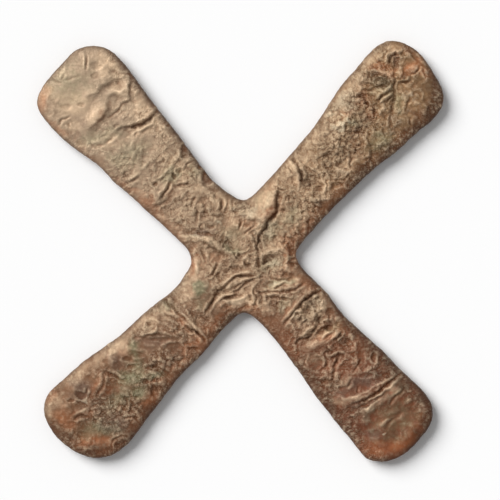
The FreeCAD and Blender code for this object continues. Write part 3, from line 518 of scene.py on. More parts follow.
# Lumps, with a negative height for hollows: (x, y, half length, half width, turn in degrees, height)
LUMPS = [
    (-62.5, 75, 4, 3.5, 0, -0.5), (-72, 92.5, 3, 2, 0, -0.35), (-63, 88.5, 2.5, 2, 0, -0.25),
    (-72.5, 87.5, 2.2, 1.9, 0, -0.3), (-79.5, 73, 1.8, 1, 0, -0.4), (-82, 57, 5.5, 2.6, -35, -0.3),
    (-71, 54.5, 4, 1.5, 35, 0.35), (-72, 52.3, 3.2, 1.2, 8, -0.35), (-62, 62.5, 1.6, 1, 30, -0.35),
    (-36.6, 57.4, 1.7, 1.6, 0, -0.3), (-38, 61.6, 1.2, 1.2, 0, 0.4), (-28, 51.5, 1.6, 1.8, 0, -0.7),
    (-28.2, 48.8, 1.8, 2.3, 0, -0.5), (-31.5, 43.4, 2, 1.6, 30, -0.4), (-31, 40, 1.6, 1.2, 40, -0.6),
    (-33.4, 37.4, 1.1, 1.8, 15, -0.9), (-42.5, 33.4, 1.4, 1, 30, -0.5), (-17, 36.6, 2.4, 3.4, 30, -0.6),
    (-20.6, 42, 1.1, 1.6, 0, -0.8), (-18.5, 25.5, 3, 1.8, 0, -0.5), (-65, 93, 4, 1.5, 0, 0.4),
    (-63, 79, 5, 1.2, 15, 0.35), (-45, 69, 3, 2, 0, 0.4), (-54, 53, 5, 1.5, 85, 0.35),
    (-66, 45, 8, 2, -35, 0.3), (-38, 60, 5, 1.5, -60, 0.35), (-20, 36, 3, 1.5, -45, 0.4),
    (-15, 27, 4, 1.5, -60, 0.4), (-22, 12, 5, 1.5, 0, 0.4), (-10, 25, 3, 1, 90, 0.4),
    (-87, 72, 3, 1.5, 0, -0.3), (-27, 33, 4, 1.5, 10, -0.5), (-18, 18, 2.5, 2, 0, -0.4),
    (-36, 20, 5, 3, 0, -0.4), (-6, 4.5, 2.5, 1.5, 0, -0.4),
    (2.5, 14, 6, 1.8, 0, -0.3), (-3, 13.4, 2, 2, 0, 0.5), (8, 9, 1.2, 2, 0, 0.4),
    (-19.5, 12, 1.1, 1.7, 0, -0.5), (-15, 12, 2.1, 1.1, 0, -0.5), (-18.3, 8.6, 4, 1, -8, -0.4),
    (-8.6, 2.4, 0.8, 0.8, 0, -0.8), (2.5, -3.4, 1.5, 1.2, 20, 0.6), (5.6, -4.4, 0.9, 1, 0, -0.5),
    (6.6, -6.4, 1.1, 2.2, 0, 0.7), (-2.6, -8, 2.8, 1, 0, -0.4), (14.4, -3.8, 4.4, 1.3, 24, -0.5),
    (19, -11.4, 7, 1.4, 0, -0.3), (29, -14.4, 1.6, 1.4, 30, 0.6), (25, -17, 2.4, 1, 20, 0.4),
    (20, -16.4, 5.5, 1.4, 18, 0.5), (20, -23.6, 6, 0.9, -6, -0.6), (18.5, -27, 1, 1.5, 20, -0.4),
    (-8, -28.2, 2.2, 1.4, 20, -0.4), (2, -27.4, 2, 1.4, 0, -0.4), (25, -6, 1.8, 2.4, 0, -0.5),
    (25, 1, 1.8, 2, 0, -0.4), (20.4, 5, 1.8, 1.5, 0, 0.6), (17, 7, 1.2, 1, 30, -0.4),
    (16, 3, 2.2, 1.6, 0, 0.3), (7, 2, 1, 2, 0, 0.6), (-3, -7, 6, 1, -5, 0.35),
    (-4.5, -15.5, 3, 1, 40, 0.5), (8, -13, 1.5, 1.5, 0, 0.4), (-0.5, -3, 1.5, 1.2, 0, -0.8),
    (-11, -12, 2.5, 1.5, 0, -0.5), (3, -12.5, 5, 0.8, 0, -0.5), (-10, -20.5, 4, 1.2, 25, -0.8),
    (-3, -18, 4, 1, 30, -0.7), (-4, -23, 5, 1.2, 5, -0.8), (10, -23, 3, 1.2, 90, -0.7),
    (3.5, -7, 1.5, 1, 0, -0.6), (7, 9, 2.5, 1.5, 0, -0.5),
    (24, 40.5, 3, 3.4, 40, 0.25), (34, 38.5, 3, 1.8, 0, -0.3), (33.4, 33.4, 1.8, 1.5, 0, -0.4),
    (38.5, 31.6, 3, 3.4, 0, -0.3), (48, 33, 3.4, 1.8, 20, -0.4), (43, 48.2, 3, 1.1, 25, -0.5),
    (58, 58.6, 1.3, 2.6, -10, -0.5), (52.3, 62.2, 0.8, 1.5, 0, -0.8), (48.5, 62.6, 1.3, 0.9, 0, 0.7),
    (53.5, 65, 0.9, 0.9, 0, 0.7), (77.2, 94.4, 2.9, 4, -15, -0.6), (66, 90, 4, 1.3, -10, 0.5),
    (69, 91, 1.6, 1.3, 0, 0.4), (73.6, 88.6, 2.4, 1.4, -15, 0.5), (86, 91.5, 2.3, 1.7, 15, 0.6),
    (63.5, 83.2, 4.2, 1.2, 0, -0.4), (82.4, 84.4, 1.8, 0.9, 10, -0.5), (66.6, 69, 0.9, 2.1, 0, -0.8),
    (63.4, 72.8, 0.9, 1.5, 30, -0.6), (61, 77.6, 2, 1, 10, -0.5), (87, 77, 2.2, 1.8, 0, 0.2),
    (85, 101, 4, 2, -40, -0.4), (42.5, 34.5, 5, 1, -75, 0.4), (45, 28, 3, 1.3, 50, 0.4),
    (51, 62, 2.5, 2, 0, 0.4), (53, 68, 2.5, 3, 0, 0.3), (58, 69, 3, 1, 0, 0.4),
    (82, 99, 4, 1.5, -45, 0.4), (92, 86, 2.5, 1.5, -60, 0.4), (65, 69, 1.5, 2, 0, 0.4),
    (83, 76, 4, 1.5, 75, 0.4), (54, 39, 3, 5, 0, 0.3), (77, 57, 5, 1.5, 50, 0.3),
    (70, 53, 4, 1.5, 50, 0.3), (58, 59, 4, 2, -70, 0.4), (19, 26, 5, 1.5, 80, -0.7),
    (39, 31, 2, 2, 0, -0.5), (44, 47, 3, 2, 0, -0.4), (25, 35, 2.5, 2, 0, -0.4),
    (51, 50, 4, 2, -75, -0.4), (71, 82, 2, 2, 0, -0.4), (87, 97, 4, 1, -50, -0.5), (37, 21, 4, 2, 0, -0.3),
    (36.4, -24.6, 3, 2, 40, 0.4), (40.2, -28.6, 1.6, 1.4, 0, 0.5), (35.6, -31.6, 1.6, 2.4, 0, 0.6),
    (43, -34.5, 1.8, 1, 0, 0.6), (39, -34, 2.2, 1.4, 20, -0.5), (32, -41.4, 2, 1.4, 40, 0.5),
    (41, -39.4, 3, 1.2, 35, -0.5), (47.6, -42, 2, 1.3, 20, 0.6), (37, -46.6, 4.2, 2, 12, 0.5),
    (38, -54.6, 3.8, 4.6, 0, -0.3), (53.6, -45, 1.6, 1.2, 0, -0.4), (54, -57.4, 3.6, 2.2, 20, -0.4),
    (66.4, -53, 1.3, 2.5, 0, -0.8), (62.6, -62, 3.2, 1.4, 0, -0.4), (57.6, -77.2, 4.4, 1.8, 12, -0.3),
    (67, -91.2, 3, 2, 0, -0.3), (72.2, -91, 0.7, 0.6, 0, 0.5), (20, 0, 3, 1.5, 0, 0.5),
    (25, -10, 3, 1.5, 0, 0.5), (6.5, -20.5, 4, 1.5, 100, 0.6), (14, -30, 3, 3, 0, 0.4),
    (55, -56, 3, 1.5, 0, 0.4), (64, -59.5, 5, 1.5, 35, 0.5), (62, -85, 3, 2, 0, 0.4),
    (90, -76, 2, 4, 0, 0.3), (73, -84, 5, 1.6, 50, 0.2), (14, -17, 2.5, 1.5, 0, -0.5),
    (28, -34, 3, 3, 0, -0.4), (45, -39, 3, 1, 0, -0.5), (53, -47, 3, 3, 0, -0.3),
    (60, -54, 2, 4, 0, -0.4), (73, -62, 3, 1.5, 0, -0.5), (44, -65, 5, 1.2, 0, -0.4),
    (40, -57, 5, 3, 0, -0.3), (66, -75, 6, 1, 35, -0.6), (72, -93, 3, 3, 0, -0.3),
    (28, -31.5, 1, 1, 0, -0.6), (30, -34, 1, 1, 0, -0.6),
    (-62.3, -53.2, 2.4, 1.8, -30, -0.3), (-61.4, -57, 2.4, 2, 0, -0.4), (-56.4, -53.6, 2.3, 1.6, 0, -0.5),
    (-54.4, -57.5, 2.3, 1.2, 0, -0.5), (-66, -61.4, 2.8, 1.2, -25, -0.6), (-80, -71.5, 3, 1.6, -15, -0.6),
    (-84.3, -74.6, 1.6, 0.9, 10, -0.5), (-72.5, -77, 1.1, 1, 0, -0.6), (-56.5, -74, 1.6, 1.3, 0, -0.5),
    (-47.4, -65, 2, 1.4, 0, -0.6), (-43, -64.6, 1.8, 1, 0, -0.5), (-60.4, -95.8, 2.8, 2.4, 0, -0.4),
    (-58, -95, 1.1, 0.9, 0, -0.4), (-47, -37.6, 4, 2.6, 10, 0.3), (-45.6, -36.4, 1.6, 1.1, 0, -0.4),
    (-44, -46, 7, 3, 5, -0.2), (-33, -48.4, 4.6, 2.6, 5, -0.3), (-23, -49.2, 2.8, 1, 0, -0.5),
    (-52, -51.4, 4, 1.8, -10, -0.5), (-62, -47, 5, 2.6, 35, 0.3), (-43, -57.6, 2, 1.3, 0, -0.5),
    (-43, -61, 2.4, 1.4, 0, 0.3), (-26.5, -30.5, 5, 1, -60, 0.4), (-34, -38, 8, 1, -25, 0.4),
    (-45, -47, 6, 1.2, -5, 0.25), (-73, -61, 4, 2, -25, 0.3), (-77, -79, 5, 1.5, 10, 0.4),
    (-58, -93, 5, 2, 25, 0.4), (-17, -26, 2, 4, 0, 0.4), (-9, -27, 3, 3, 0, 0.5),
    (-13, -17, 4, 1.2, 10, 0.4), (-24, -26, 3, 2.5, 0, -0.3), (-44, -36, 3, 1.5, 0, -0.3),
    (-40, -44, 6, 1, 0, -0.3), (-43, -70, 2, 3, 0, -0.7), (-40, -60, 6, 1.5, -25, -0.5),
    (-79, -92, 3, 2, 0, -0.4),
    (80.6, 77.6, 3.4, 4, 0, 0.6), (79, 67.6, 3.6, 4.6, 20, 0.6), (70.4, 71, 2.8, 2.8, 0, 0.5),
    (71.8, 68, 1.6, 1.6, 0, -0.6), (98, 77, 1.2, 1.2, 0, 0.4), (87.6, 73.6, 2, 1.6, 0, 0.5),
    (66.6, 86.6, 3, 1.6, -20, -0.5), (62, 67.6, 2.4, 2, 0, 0.5), (57, 63, 1.6, 2.4, 0, 0.5),
    (61.6, 57.6, 1.6, 2.6, 0, 0.5), (48, 53.6, 1.4, 1.6, 0, 0.6), (38.6, 52.8, 1.2, 1.4, 0, 0.5),
    (41, 51, 1, 1, 0, 0.5), (47, 48.6, 1.2, 2, -40, 0.5), (16.6, 8.6, 3, 2, 20, 0.5),
    (14.6, 4.6, 2.4, 2, 0, 0.5), (42.8, -34.2, 1.8, 1.1, 0, 0.6), (48.4, -33.8, 2, 1.6, 0, 0.6),
    (44.6, -30, 2.4, 2, 40, -0.5), (44, -38, 2.2, 1.2, 30, -0.6), (36, -46.6, 5, 2, 10, 0.4),
    (61.4, -75.6, 3, 2, 40, -0.7), (50.4, -72.8, 2, 1.2, 0, 0.4), (76.4, -67.4, 3, 1.6, 50, 0.5),
]

# The lists below give areas of the face: (x, y, half length, half width, turn in degrees, strength).
# Where bubbles of gas left it granular
GRANULAR = [
    (52, 56, 16, 9, 45, 1.0), (58, 73, 9, 5, 0, 0.8), (46, 66, 7, 4, 60, 0.9), (30, 20, 10, 6, 30, 0.4),
    (34, -29, 7, 5, 45, 0.8), (0, 21.5, 6, 2, 0, 0.8), (-62, -81, 12, 8, 20, 0.6), (-46, -60, 8, 5, 20, 0.6),
    (-33, -55, 8, 4, 20, 0.5), (48, -66.5, 3.5, 2.5, 0, 0.8), (-24, 16, 10, 7, 0, 0.3),
]
# Where the skin crumpled most
RUGGED = [
    (0, -8, 17, 17, 0, 1.0), (38, 38, 28, 12, 47, 1.0), (70, 80, 16, 18, 30, 0.8),
    (32, -32, 16, 12, -45, 0.6), (-32, 30, 16, 14, 0, 0.4), (14, 2, 14, 20, 0, 0.8),
]
# Where it hardly moved
CALM = [(-80, 76, 30, 26, -45, 0.5), (76, -82, 30, 22, -45, 0.45), (-76, -76, 26, 26, 45, 0.4)]
# Plates that set smooth
SMOOTH = [
    (-88, 76, 14, 15, 40, 0.75), (-84, 92, 8, 6, 40, 0.7), (-72, 90, 7, 6, 0, 0.6), (-63, 54, 6, 5, 0, 0.5),
    (-51, 50, 8, 8, 0, 0.3), (10, 24, 5, 6, -20, 0.5), (78, -88, 18, 13, -40, 0.7), (88, 82, 10, 10, 0, 0.6),
    (-48, -46, 9, 4, 5, 0.7), (-62, -55, 7, 4, 0, 0.7), (-81, -71, 5, 4, 0, 0.6), (-90, -80, 7, 9, 0, 0.5),
    (38, -54, 6, 6, 0, 0.4), (-21, -20, 7, 7, 0, 0.5), (-12, -2.5, 5, 3, 0, 0.6), (45, 23, 5, 3, 40, 0.6),
]

plan = places[:, :2]


def noise_at(spots, size, seed):
    """Smooth noise between about -1 and 1 at each spot, with lumps as wide as the size given in mm."""
    shift = Vector((seed * 17.3, seed * 5.1, seed * 9.7))
    return np.array([noise.noise(Vector(spot) / size + shift) for spot in spots.tolist()])


def smooth_line(points):
    """The points with more between them, on a smooth curve through them all."""
    points = np.array(points, float)
    padded = np.vstack([2 * points[0] - points[1], points, 2 * points[-1] - points[-2]])
    line = [points[:1]]
    for before, start, end, after in zip(padded, padded[1:], padded[2:], padded[3:]):
        t = np.linspace(0, 1, 5)[1:, None]
        line.append(0.5 * (
            2 * start + (end - before) * t + (2 * before - 5 * start + 4 * end - after) * t**2
            + (3 * start - before - 3 * end + after) * t**3
        ))
    return np.vstack(line)


def along_stroke(points, reach):
    """The numbers of the places near a stroke, how far to its left each is, and the stroke's fade there."""
    line = smooth_line(points)
    near = np.flatnonzero(np.all((wavy > line.min(0) - reach) & (wavy < line.max(0) + reach), axis=1))
    start, step = line[:-1], np.diff(line, axis=0)
    length = np.linalg.norm(step, axis=1)
    offset = wavy[near][:, None] - start
    share = np.clip((offset * step).sum(2) / length**2, 0, 1)
    away = offset - share[..., None] * step
    distance = np.linalg.norm(away, axis=2)
    closest = distance.argmin(1)
    row = np.arange(len(near))
    away = away[row, closest]
    side = np.sign(step[closest, 0] * away[:, 1] - step[closest, 1] * away[:, 0])
    passed = (np.cumsum(length) - length)[closest] + share[row, closest] * length[closest]
    fade = np.sin(math.pi * np.clip(passed / length.sum(), 0, 1)) ** 0.5
    aside = side * distance[row, closest] * (1 + 0.35 * waver[near, 0])
    return near, aside, fade * (1 + 0.5 * waver[near, 1])


def from_middle(spots, x, y, half_length, half_width, turn):
    """How far each spot is from the middle of an oval, where 1 is its edge."""
    cos, sin = math.cos(math.radians(turn)), math.sin(math.radians(turn))
    dx, dy = spots[:, 0] - x, spots[:, 1] - y
    return np.hypot((dx * cos + dy * sin) / half_length, (dy * cos - dx * sin) / half_width)


def area(ovals):
    """How much each place belongs to the ovals, from 0 to 1."""
    share = np.zeros(len(places))
    for *oval, strength in ovals:
        share = np.maximum(share, strength * np.exp(-0.7 * from_middle(wavy, *oval) ** 4))
    return share


def step_up(value, low, high):
    """0 below low, 1 above high, and a smooth rise between."""
    t = np.clip((value - low) / (high - low), 0, 1)
    return t * t * (3 - 2 * t)


flat_spots = np.column_stack([plan, np.zeros(len(plan))])
waver = np.stack([noise_at(flat_spots, 3.0, 1), noise_at(flat_spots, 3.0, 2)], axis=1)
waver_fine = np.stack([noise_at(flat_spots, 1.3, 3), noise_at(flat_spots, 1.3, 4)], axis=1)
wavy = plan + 0.6 * waver + 0.2 * waver_fine

# How much more or less each kind shows than the heights and depths above, which are read from the shading
CREASE_GAIN, RIDGE_GAIN, FOLD_GAIN, LUMP_GAIN = 1.1, 1.4, 0.85, 1.4
LIP_HEIGHT = 0.4  # of the lips beside a crease, as a part of its depth
SHADED_FROM, SHADED_RANGE = 0.6, 1.2  # the depth from which a crease is darkened by stains and painted shade, and the further depth to its full darkness

swell = np.zeros(len(places))
for *oval, height in SWELLS:
    swell += height * np.exp(-from_middle(plan, *oval) ** 2)

relief = np.zeros(len(places))
crease_shade = np.zeros(len(places))
for half_width, depth, points in CREASES:
    near, distance, fade = along_stroke(points, 4 * half_width)
    groove = np.exp(-np.abs(distance / (0.8 * half_width)) ** 1.5) * fade
    lips = np.exp(-((np.abs(distance) / half_width - 2.2) / 1.1) ** 2) * fade
    relief[near] += CREASE_GAIN * depth * (LIP_HEIGHT * lips - groove)
    stain_and_shade = min(max(depth - SHADED_FROM, 0) / SHADED_RANGE, 1)
    crease_shade[near] = np.maximum(crease_shade[near], groove**2 * stain_and_shade)
for half_width, height, points in RIDGES:
    near, distance, fade = along_stroke(points, 4 * half_width)
    relief[near] += RIDGE_GAIN * height * np.exp(-np.abs(distance / (1.2 * half_width)) ** 1.6) * fade
for half_width, drop, reach, points in FOLDS:
    near, distance, fade = along_stroke(points, 3 * reach)
    lap = np.tanh(distance / half_width) * np.exp(-np.abs(distance) / reach)
    relief[near] += FOLD_GAIN * drop * lap * fade
    # Painted shade at the foot of each fold's low side
    foot = np.exp(-((distance + half_width) / (1.2 * half_width)) ** 2) * fade
    crease_shade[near] = np.maximum(crease_shade[near], 0.5 * foot)
for *oval, height in LUMPS:
    apart = from_middle(wavy, *oval)
    shape = np.exp(-apart**2) if height > 0 else 1 - step_up(apart, 0.6, 1.3)
    relief += LUMP_GAIN * height * shape

# The smaller folds run across the arms
rising, falling = (plan[:, 0] + plan[:, 1]) / math.sqrt(2), (plan[:, 1] - plan[:, 0]) / math.sqrt(2)
on_rising_arm = step_up(np.abs(rising) - np.abs(falling), -14, 14)


def crumpled(size, seed):
    """Folds about this wide in mm, round on top with sharp creases between, and longer across the arm."""
    shape = 0
    for along, across, length, share in (
        (rising, falling, 1.3, on_rising_arm), (falling, rising, 1.6, 1 - on_rising_arm)
    ):
        spots = np.column_stack([
            along + 1.5 * waver[:, 0], across / length + waver[:, 1], np.zeros(len(plan))
        ])
        folds = noise_at(spots, size, seed)
        shape = shape + share * (0.6 * folds + 0.9 * (np.abs(folds) - 0.2))
    return shape


def scattered(across, along, seed):
    """The distance from the nearest of some scattered middles, and that middle's own number."""
    table = np.random.default_rng(seed).random((128, 128, 5))
    column, row = np.floor(across).astype(int), np.floor(along).astype(int)
    nearest, own = np.full(len(across), 9.0), np.zeros(len(across))
    for i in (-1, 0, 1):
        for j in (-1, 0, 1):
            numbers = table[(column + i) % 128, (row + j) % 128]
            distance = np.hypot(across - column - i - numbers[:, 0], along - row - j - numbers[:, 1])
            closer = distance < nearest
            nearest = np.where(closer, distance, nearest)
            own[closer] = numbers[closer, 4]
    return nearest, own


BROAD_FOLD, SMALL_FOLD, FINE_FOLD = 6.5, 2.7, 1.6  # millimetres across
BROAD_HEIGHT, SMALL_HEIGHT, FINE_HEIGHT = 0.9, 0.5, 0.5
LEDGE_STEP = 0.5  # in height, between the small ledges where the skin lapped over itself
LEDGE_DEPTH = 0.16
BEAD_SIZE = 2.2  # of the grains where gas bubbled through the skin
BEAD_HEIGHT = 0.9

granular, smooth, calm = area(GRANULAR), area(SMOOTH), area(CALM)
busy = 0.3 + 0.5 * step_up(noise_at(flat_spots, 9.0, 21), -0.35, 0.35) + 0.4 * area(RUGGED)
busy *= (1 - 0.75 * smooth) * (1 - calm)
relief *= 1 - 0.5 * calm
relief += swell * np.clip(inset / SHOULDER_WIDTH, 0, 1) + busy * crumpled(BROAD_FOLD, 6) * BROAD_HEIGHT
ledges = (relief + 0.25 * crumpled(SMALL_FOLD, 9)) / LEDGE_STEP
relief += LEDGE_DEPTH * (np.abs(ledges - np.floor(ledges) - 0.5) * 4 - 1) * np.clip(busy, 0, 1)
relief += busy * (crumpled(SMALL_FOLD, 7) * SMALL_HEIGHT + crumpled(FINE_FOLD, 8) * FINE_HEIGHT)
nudged = (plan + 0.6 * waver_fine) / BEAD_SIZE
distance, bead_height = scattered(nudged[:, 0], nudged[:, 1], 15)
beads = np.sqrt(np.clip(1 - (distance / 0.75) ** 2, 0, 1)) * (0.5 + bead_height)
relief += (0.7 * busy + granular) * (beads - 0.5) * BEAD_HEIGHT
relief -= (relief - swell)[face_start:underside_start].mean()

# The relief fades down the wall, where the metal took the grain of the sand instead:
# (millimetres across, number of its noise, height)
SAND_GRAINS = [(1.6, 11, 0.16), (5.0, 12, 0.22), (14.0, 13, 0.3)]
open_share = step_up(inset, -0.5, 3.5)
open_share[:shoulder_start] = 0
sand = sum(noise_at(places, size, seed) * height for size, seed, height in SAND_GRAINS)
sand_share = np.ones(len(places))
sand_share[shoulder_start:underside_start] = 1 - 0.7 * open_share[shoulder_start:underside_start]
shift = relief * (0.25 + 0.75 * open_share) * (open_share > 0) + sand * sand_share
moved = places + normals * shift[:, None]
moved[:, 2] = np.maximum(moved[:, 2], 0)
cross_mesh.vertices.foreach_set("co", (moved * MM).ravel())

# How deep each place lies under the metal around it
ends = np.zeros(len(cross_mesh.edges) * 2, np.int32)
cross_mesh.edges.foreach_get("vertices", ends)
ends = ends.reshape(-1, 2)
neighbours = np.bincount(ends.ravel(), minlength=len(places))


def around_each(values, rounds):
    """The values spread over their neighbours, round after round."""
    for _ in range(rounds):
        sums = np.bincount(ends[:, 0], values[ends[:, 1]], len(places))
        sums += np.bincount(ends[:, 1], values[ends[:, 0]], len(places))
        values = 0.5 * values + 0.5 * sums / neighbours
    return values


level = np.where(open_share > 0, relief, sand)
close_level = around_each(level, 3)
near_level = around_each(close_level, 40)
wide = (near_level - level) / 0.7
tight = (close_level - level) / 0.12
# Hollows are darkened as dirt and painted shade, and crests lightened as wear and painted highlight
dirt_and_shade_in_hollows = np.clip(wide, 0, 1) * 0.7 + np.clip(tight, 0, 1) * 0.3
wear_and_highlight_on_crests = np.clip(-wide, 0, 1) * 0.6 + np.clip(-tight, 0, 1) * 0.4

# Colours of the copper's skin
# Bare copper shows orange or salmon along worn edges, red oxide and grey oxide lie in patches, and green
# carbonate has grown in a few hollows: (x, y, half length, half width, turn, strength)
COPPER = [
    (-99, 74, 8, 2.8, 80, 0.7), (-91, 61, 8, 1.8, -43, 0.6), (-75, 47, 8, 1.6, -38, 0.4),
    (-58, 33, 7, 2.2, -40, 0.6), (-46, 22, 9, 2.6, -42, 0.7), (-34, 9, 8, 2, -42, 0.5),
    (-23.6, -7, 4.4, 1.7, 95, 0.9), (-22, -2, 5, 2.4, 95, 0.6), (1, -27.6, 9, 3, 0, 0.8),
    (-12, -36, 8, 3.6, 45, 0.7), (-22, -46, 8, 4.4, 48, 0.7), (-27, -38, 9, 2, -50, 0.6),
    (-30, -56, 6, 3, 48, 0.5), (-42, -64.6, 4, 2.2, 30, 0.8), (-44, -75, 5, 4, 50, 0.8),
    (-52, -86, 8, 4, 55, 0.6), (-74, -98, 11, 4.6, -4, 1.0), (-60, -97, 7, 4, 50, 0.7),
    (-87, -84, 6, 4.4, -60, 0.6), (-78, -81, 5, 2.2, 10, 0.7), (-72, -69, 6, 2, 70, 0.6),
    (-95, -72, 5, 2.4, 50, 0.5), (-56, -51, 4, 2.4, 0, 0.4), (69, 91, 3.4, 2.6, 0, 1.0),
    (73.6, 88.4, 3.4, 2.4, -15, 1.0), (86, 91.6, 4, 3, 15, 1.0), (83, 88.4, 3, 2.2, 0, 0.8),
    (92.6, 89, 4.6, 2.2, -50, 0.8), (87, 97.6, 6, 2.4, -40, 0.4), (60, 78, 5, 2, -40, 0.5),
    (54, 69, 4, 2, 0, 0.6), (63.6, 72.6, 3, 1.6, 60, 0.6), (58, 50, 6, 4, 45, 0.4),
    (16, 20, 7, 2.2, 72, 0.9), (70, -99, 12, 4, 8, 0.65), (80, -96, 7, 3, 38, 0.9),
    (61, -95, 6, 3, -55, 0.4), (88, -86, 7, 3, 62, 0.35), (44, -41, 8, 2.4, 38, 0.6),
    (25, -1, 8, 4, 80, 1.5), (62, 76, 6, 3, 55, 0.7), (66, 69, 4, 3, 0, 0.6),
]
RUST = [
    (25.4, -3.4, 6, 3, 90, 0.25), (26, 4, 6, 3, 68, 0.5), (33, 11.5, 8, 3, 52, 0.8),
    (42, 22, 9, 2.6, 50, 0.6), (53.6, 31.4, 6, 2.4, 45, 0.7), (62, 42, 7, 2.4, 45, 0.6),
    (80, 56, 9, 2.8, 40, 0.6), (92, 68, 8, 4, 44, 0.8), (97, 76, 6, 3, 80, 0.6),
    (15, 18, 7, 1.8, 66, 1.1), (36, -20.6, 7, 1.8, 42, 0.9), (26, -29.6, 8, 1.4, 48, 0.8),
    (71, -67.6, 9, 1.5, 40, 0.9), (37, -41, 7, 1.4, 45, 0.6), (33, -16, 4, 2.4, -45, 0.7),
    (94, -77, 8, 2.6, 85, 0.7), (87, -90, 6, 2.6, 45, 0.7), (38, -66, 14, 3, -53, 0.4),
    (24, -46, 6, 2.4, -50, 0.5), (70, -55, 8, 2.4, -42, 0.6), (-68, -70, 4, 2, 60, 0.8),
    (-66, -62, 4, 2, -30, 0.5), (-43, -77, 5, 3, 50, 0.8), (-42, -65, 3, 1.8, 20, 0.8),
    (-9, -33, 4, 2.4, 45, 0.8), (-12, -2.6, 5, 2.6, -10, 0.5), (3, 14, 8, 2, -8, 0.5),
    (-28.6, 51.4, 2.4, 2, 0, 0.7), (-69, 68, 6, 1.5, 60, 0.5), (-47, 65.6, 8, 1.1, 25, 0.4),
    (-37, 29, 6, 1.2, 62, 0.5), (78, 98, 4, 3, 90, 0.4), (62, 78, 2.4, 3, 30, 0.6),
    (66.6, 68.6, 1.6, 2.6, 0, 0.7), (57.6, 59, 2, 3.6, -10, 0.5), (30, 37, 1.6, 4, -10, 0.5),
]
GREEN = [
    (-20.4, -19, 2.4, 2.8, 0, 1.2), (-20, -26, 4, 4, 0, 0.4), (18, -17.6, 4, 1.8, 10, 0.8),
    (24, -15.6, 6, 1.6, 14, 0.7), (-3.6, 2, 4, 2, -15, 0.8), (24, -27, 5, 3, 45, 0.5),
    (-51, -70.4, 3.6, 3.4, 0, 1.1), (-55, -62.6, 7, 3.4, 10, 0.9), (-53, -50, 2.4, 5, 0, 0.8),
    (-52, -57, 4, 4, 0, 0.6), (-43, -61.4, 4, 2.4, 0, 0.9), (-71, -89, 9, 4, 10, 0.6),
    (11, 25, 6, 6, 60, 0.3), (-61, -73, 6, 4, 30, 0.6), (24, 18, 7, 3, 15, 0.5),
    (16, 11, 4, 5, 0, 0.6), (-88, 84, 12, 9, 0, 0.4), (-72, 56, 8, 3, 20, 0.5),
    (-56, 48, 9, 6, 30, 0.5), (-64, 60, 5, 4, 20, 0.4), (-34, 38, 4, 3, 60, 0.7),
    (-22, 40, 4, 3, 0, 0.5), (-37, -27, 4, 1.6, -30, 0.6), (17, -7, 7, 3, 20, 0.6),
    (71, 82, 6, 5, 0, 0.6), (70, 54, 5, 5, 40, 0.7), (78, 74, 3, 5, 0, 0.6), (55, 64, 3, 2, 0, 0.7),
    (79, -70, 5, 3, 40, 0.5), (78, -84, 13, 9, 40, 0.4), (-5, 9, 5, 6, 0, 0.4), (46, -38, 6, 1.8, 30, 0.5),
]
# Dark oxide in patches; many lie along the edges turned away from the lamp, where they are painted shade
DARK_OXIDE_AND_SHADE = [
    (32, 6, 6, 2.6, 50, 0.6), (47, 22, 9, 2.8, 47, 0.6), (62, 37.6, 9, 4.4, 45, 1.1),
    (74, 48.5, 9, 5, 42, 0.9), (86, 59.5, 9, 5, 42, 0.9), (96, 70.5, 8, 5.4, 62, 1.0),
    (98, 80, 8, 4.6, 100, 1.0), (88, 82, 7, 8, 0, 0.5), (33, -63, 9, 5, -54, 1.0),
    (43, -77, 10, 5, -53, 0.9), (54, -90, 10, 5, -50, 0.8), (44, -67, 6, 5, -50, 0.4),
    (56, -38, 8, 3, -43, 0.7), (70, -52, 9, 5, -43, 1.0), (81, -62.5, 8, 6, -45, 1.3),
    (91, -73, 7, 5.4, -52, 1.1), (94, -83, 7, 4, 90, 0.9), (90, -91, 6, 4, 50, 0.6),
    (-56, -93, 9, 5, 50, 0.8), (-75, -101, 10, 4, 0, 0.9), (-87, -94, 8, 4, -40, 0.8),
    (-45, -80, 9, 3, 53, 0.6), (-77, -84, 8, 8, 0, 0.5), (-68, -74, 8, 6, 20, 0.6),
    (-6, -35, 8, 4, 45, 0.8), (-46, 21, 8, 2, -42, 0.4), (69, 84, 7, 3.6, -10, 0.6),
    (60, -80, 7, 5, 20, 0.8), (66, -74, 9, 4, 38, 0.7), (75, 65, 4, 7, -20, 0.5),
    (-62, 65, 7, 5, -45, 0.4), (-76, 65, 5, 5, 0, 0.3), (33, 37, 3, 5, -20, 0.4),
    (38, 41, 5, 1.6, -20, 0.3), (-56, 58, 5, 4, 0, 0.3), (-94, 71, 4, 5, 0, 0.35),
    (-44, 33, 6, 4, -45, 0.3), (-37, 14, 5, 3, -42, 0.3), (-24, 1, 4, 4, 0, 0.4),
    (-12, 13, 5, 4, 0, 0.35), (-31, -33, 5, 4, 45, 0.4), (-49, -67, 6, 5, 0, 0.4),
    (-77, -58, 8, 5, 42, 0.1), (-78, -72, 6, 5, 0, 0.5), (24, -28, 5, 3, 45, 0.35),
    (49, -43, 4, 3, -45, 0.5), (67, -61, 7, 4, -45, 0.6), (53, -73, 5, 4, 0, 0.4),
    (12, -14, 4, 3, 0, 0.3), (85, 80, 6, 5, 0, 0.4), (-18, -20, 5, 5, 0, 0.35),
    (41, -60, 6, 4, -50, 0.3), (75, -55, 7, 4, -43, 0.9), (14, 37, 9, 1.2, 46, 0.4),
    (27, 51.6, 9, 1.2, 48, 0.4), (41, 69, 10, 1.2, 53, 0.4), (55, 89.6, 12, 1.2, 53, 0.4),
    (-88, 64, 5, 4, -40, 0.3), (100, 78, 5, 7, 0, 0.9),
]
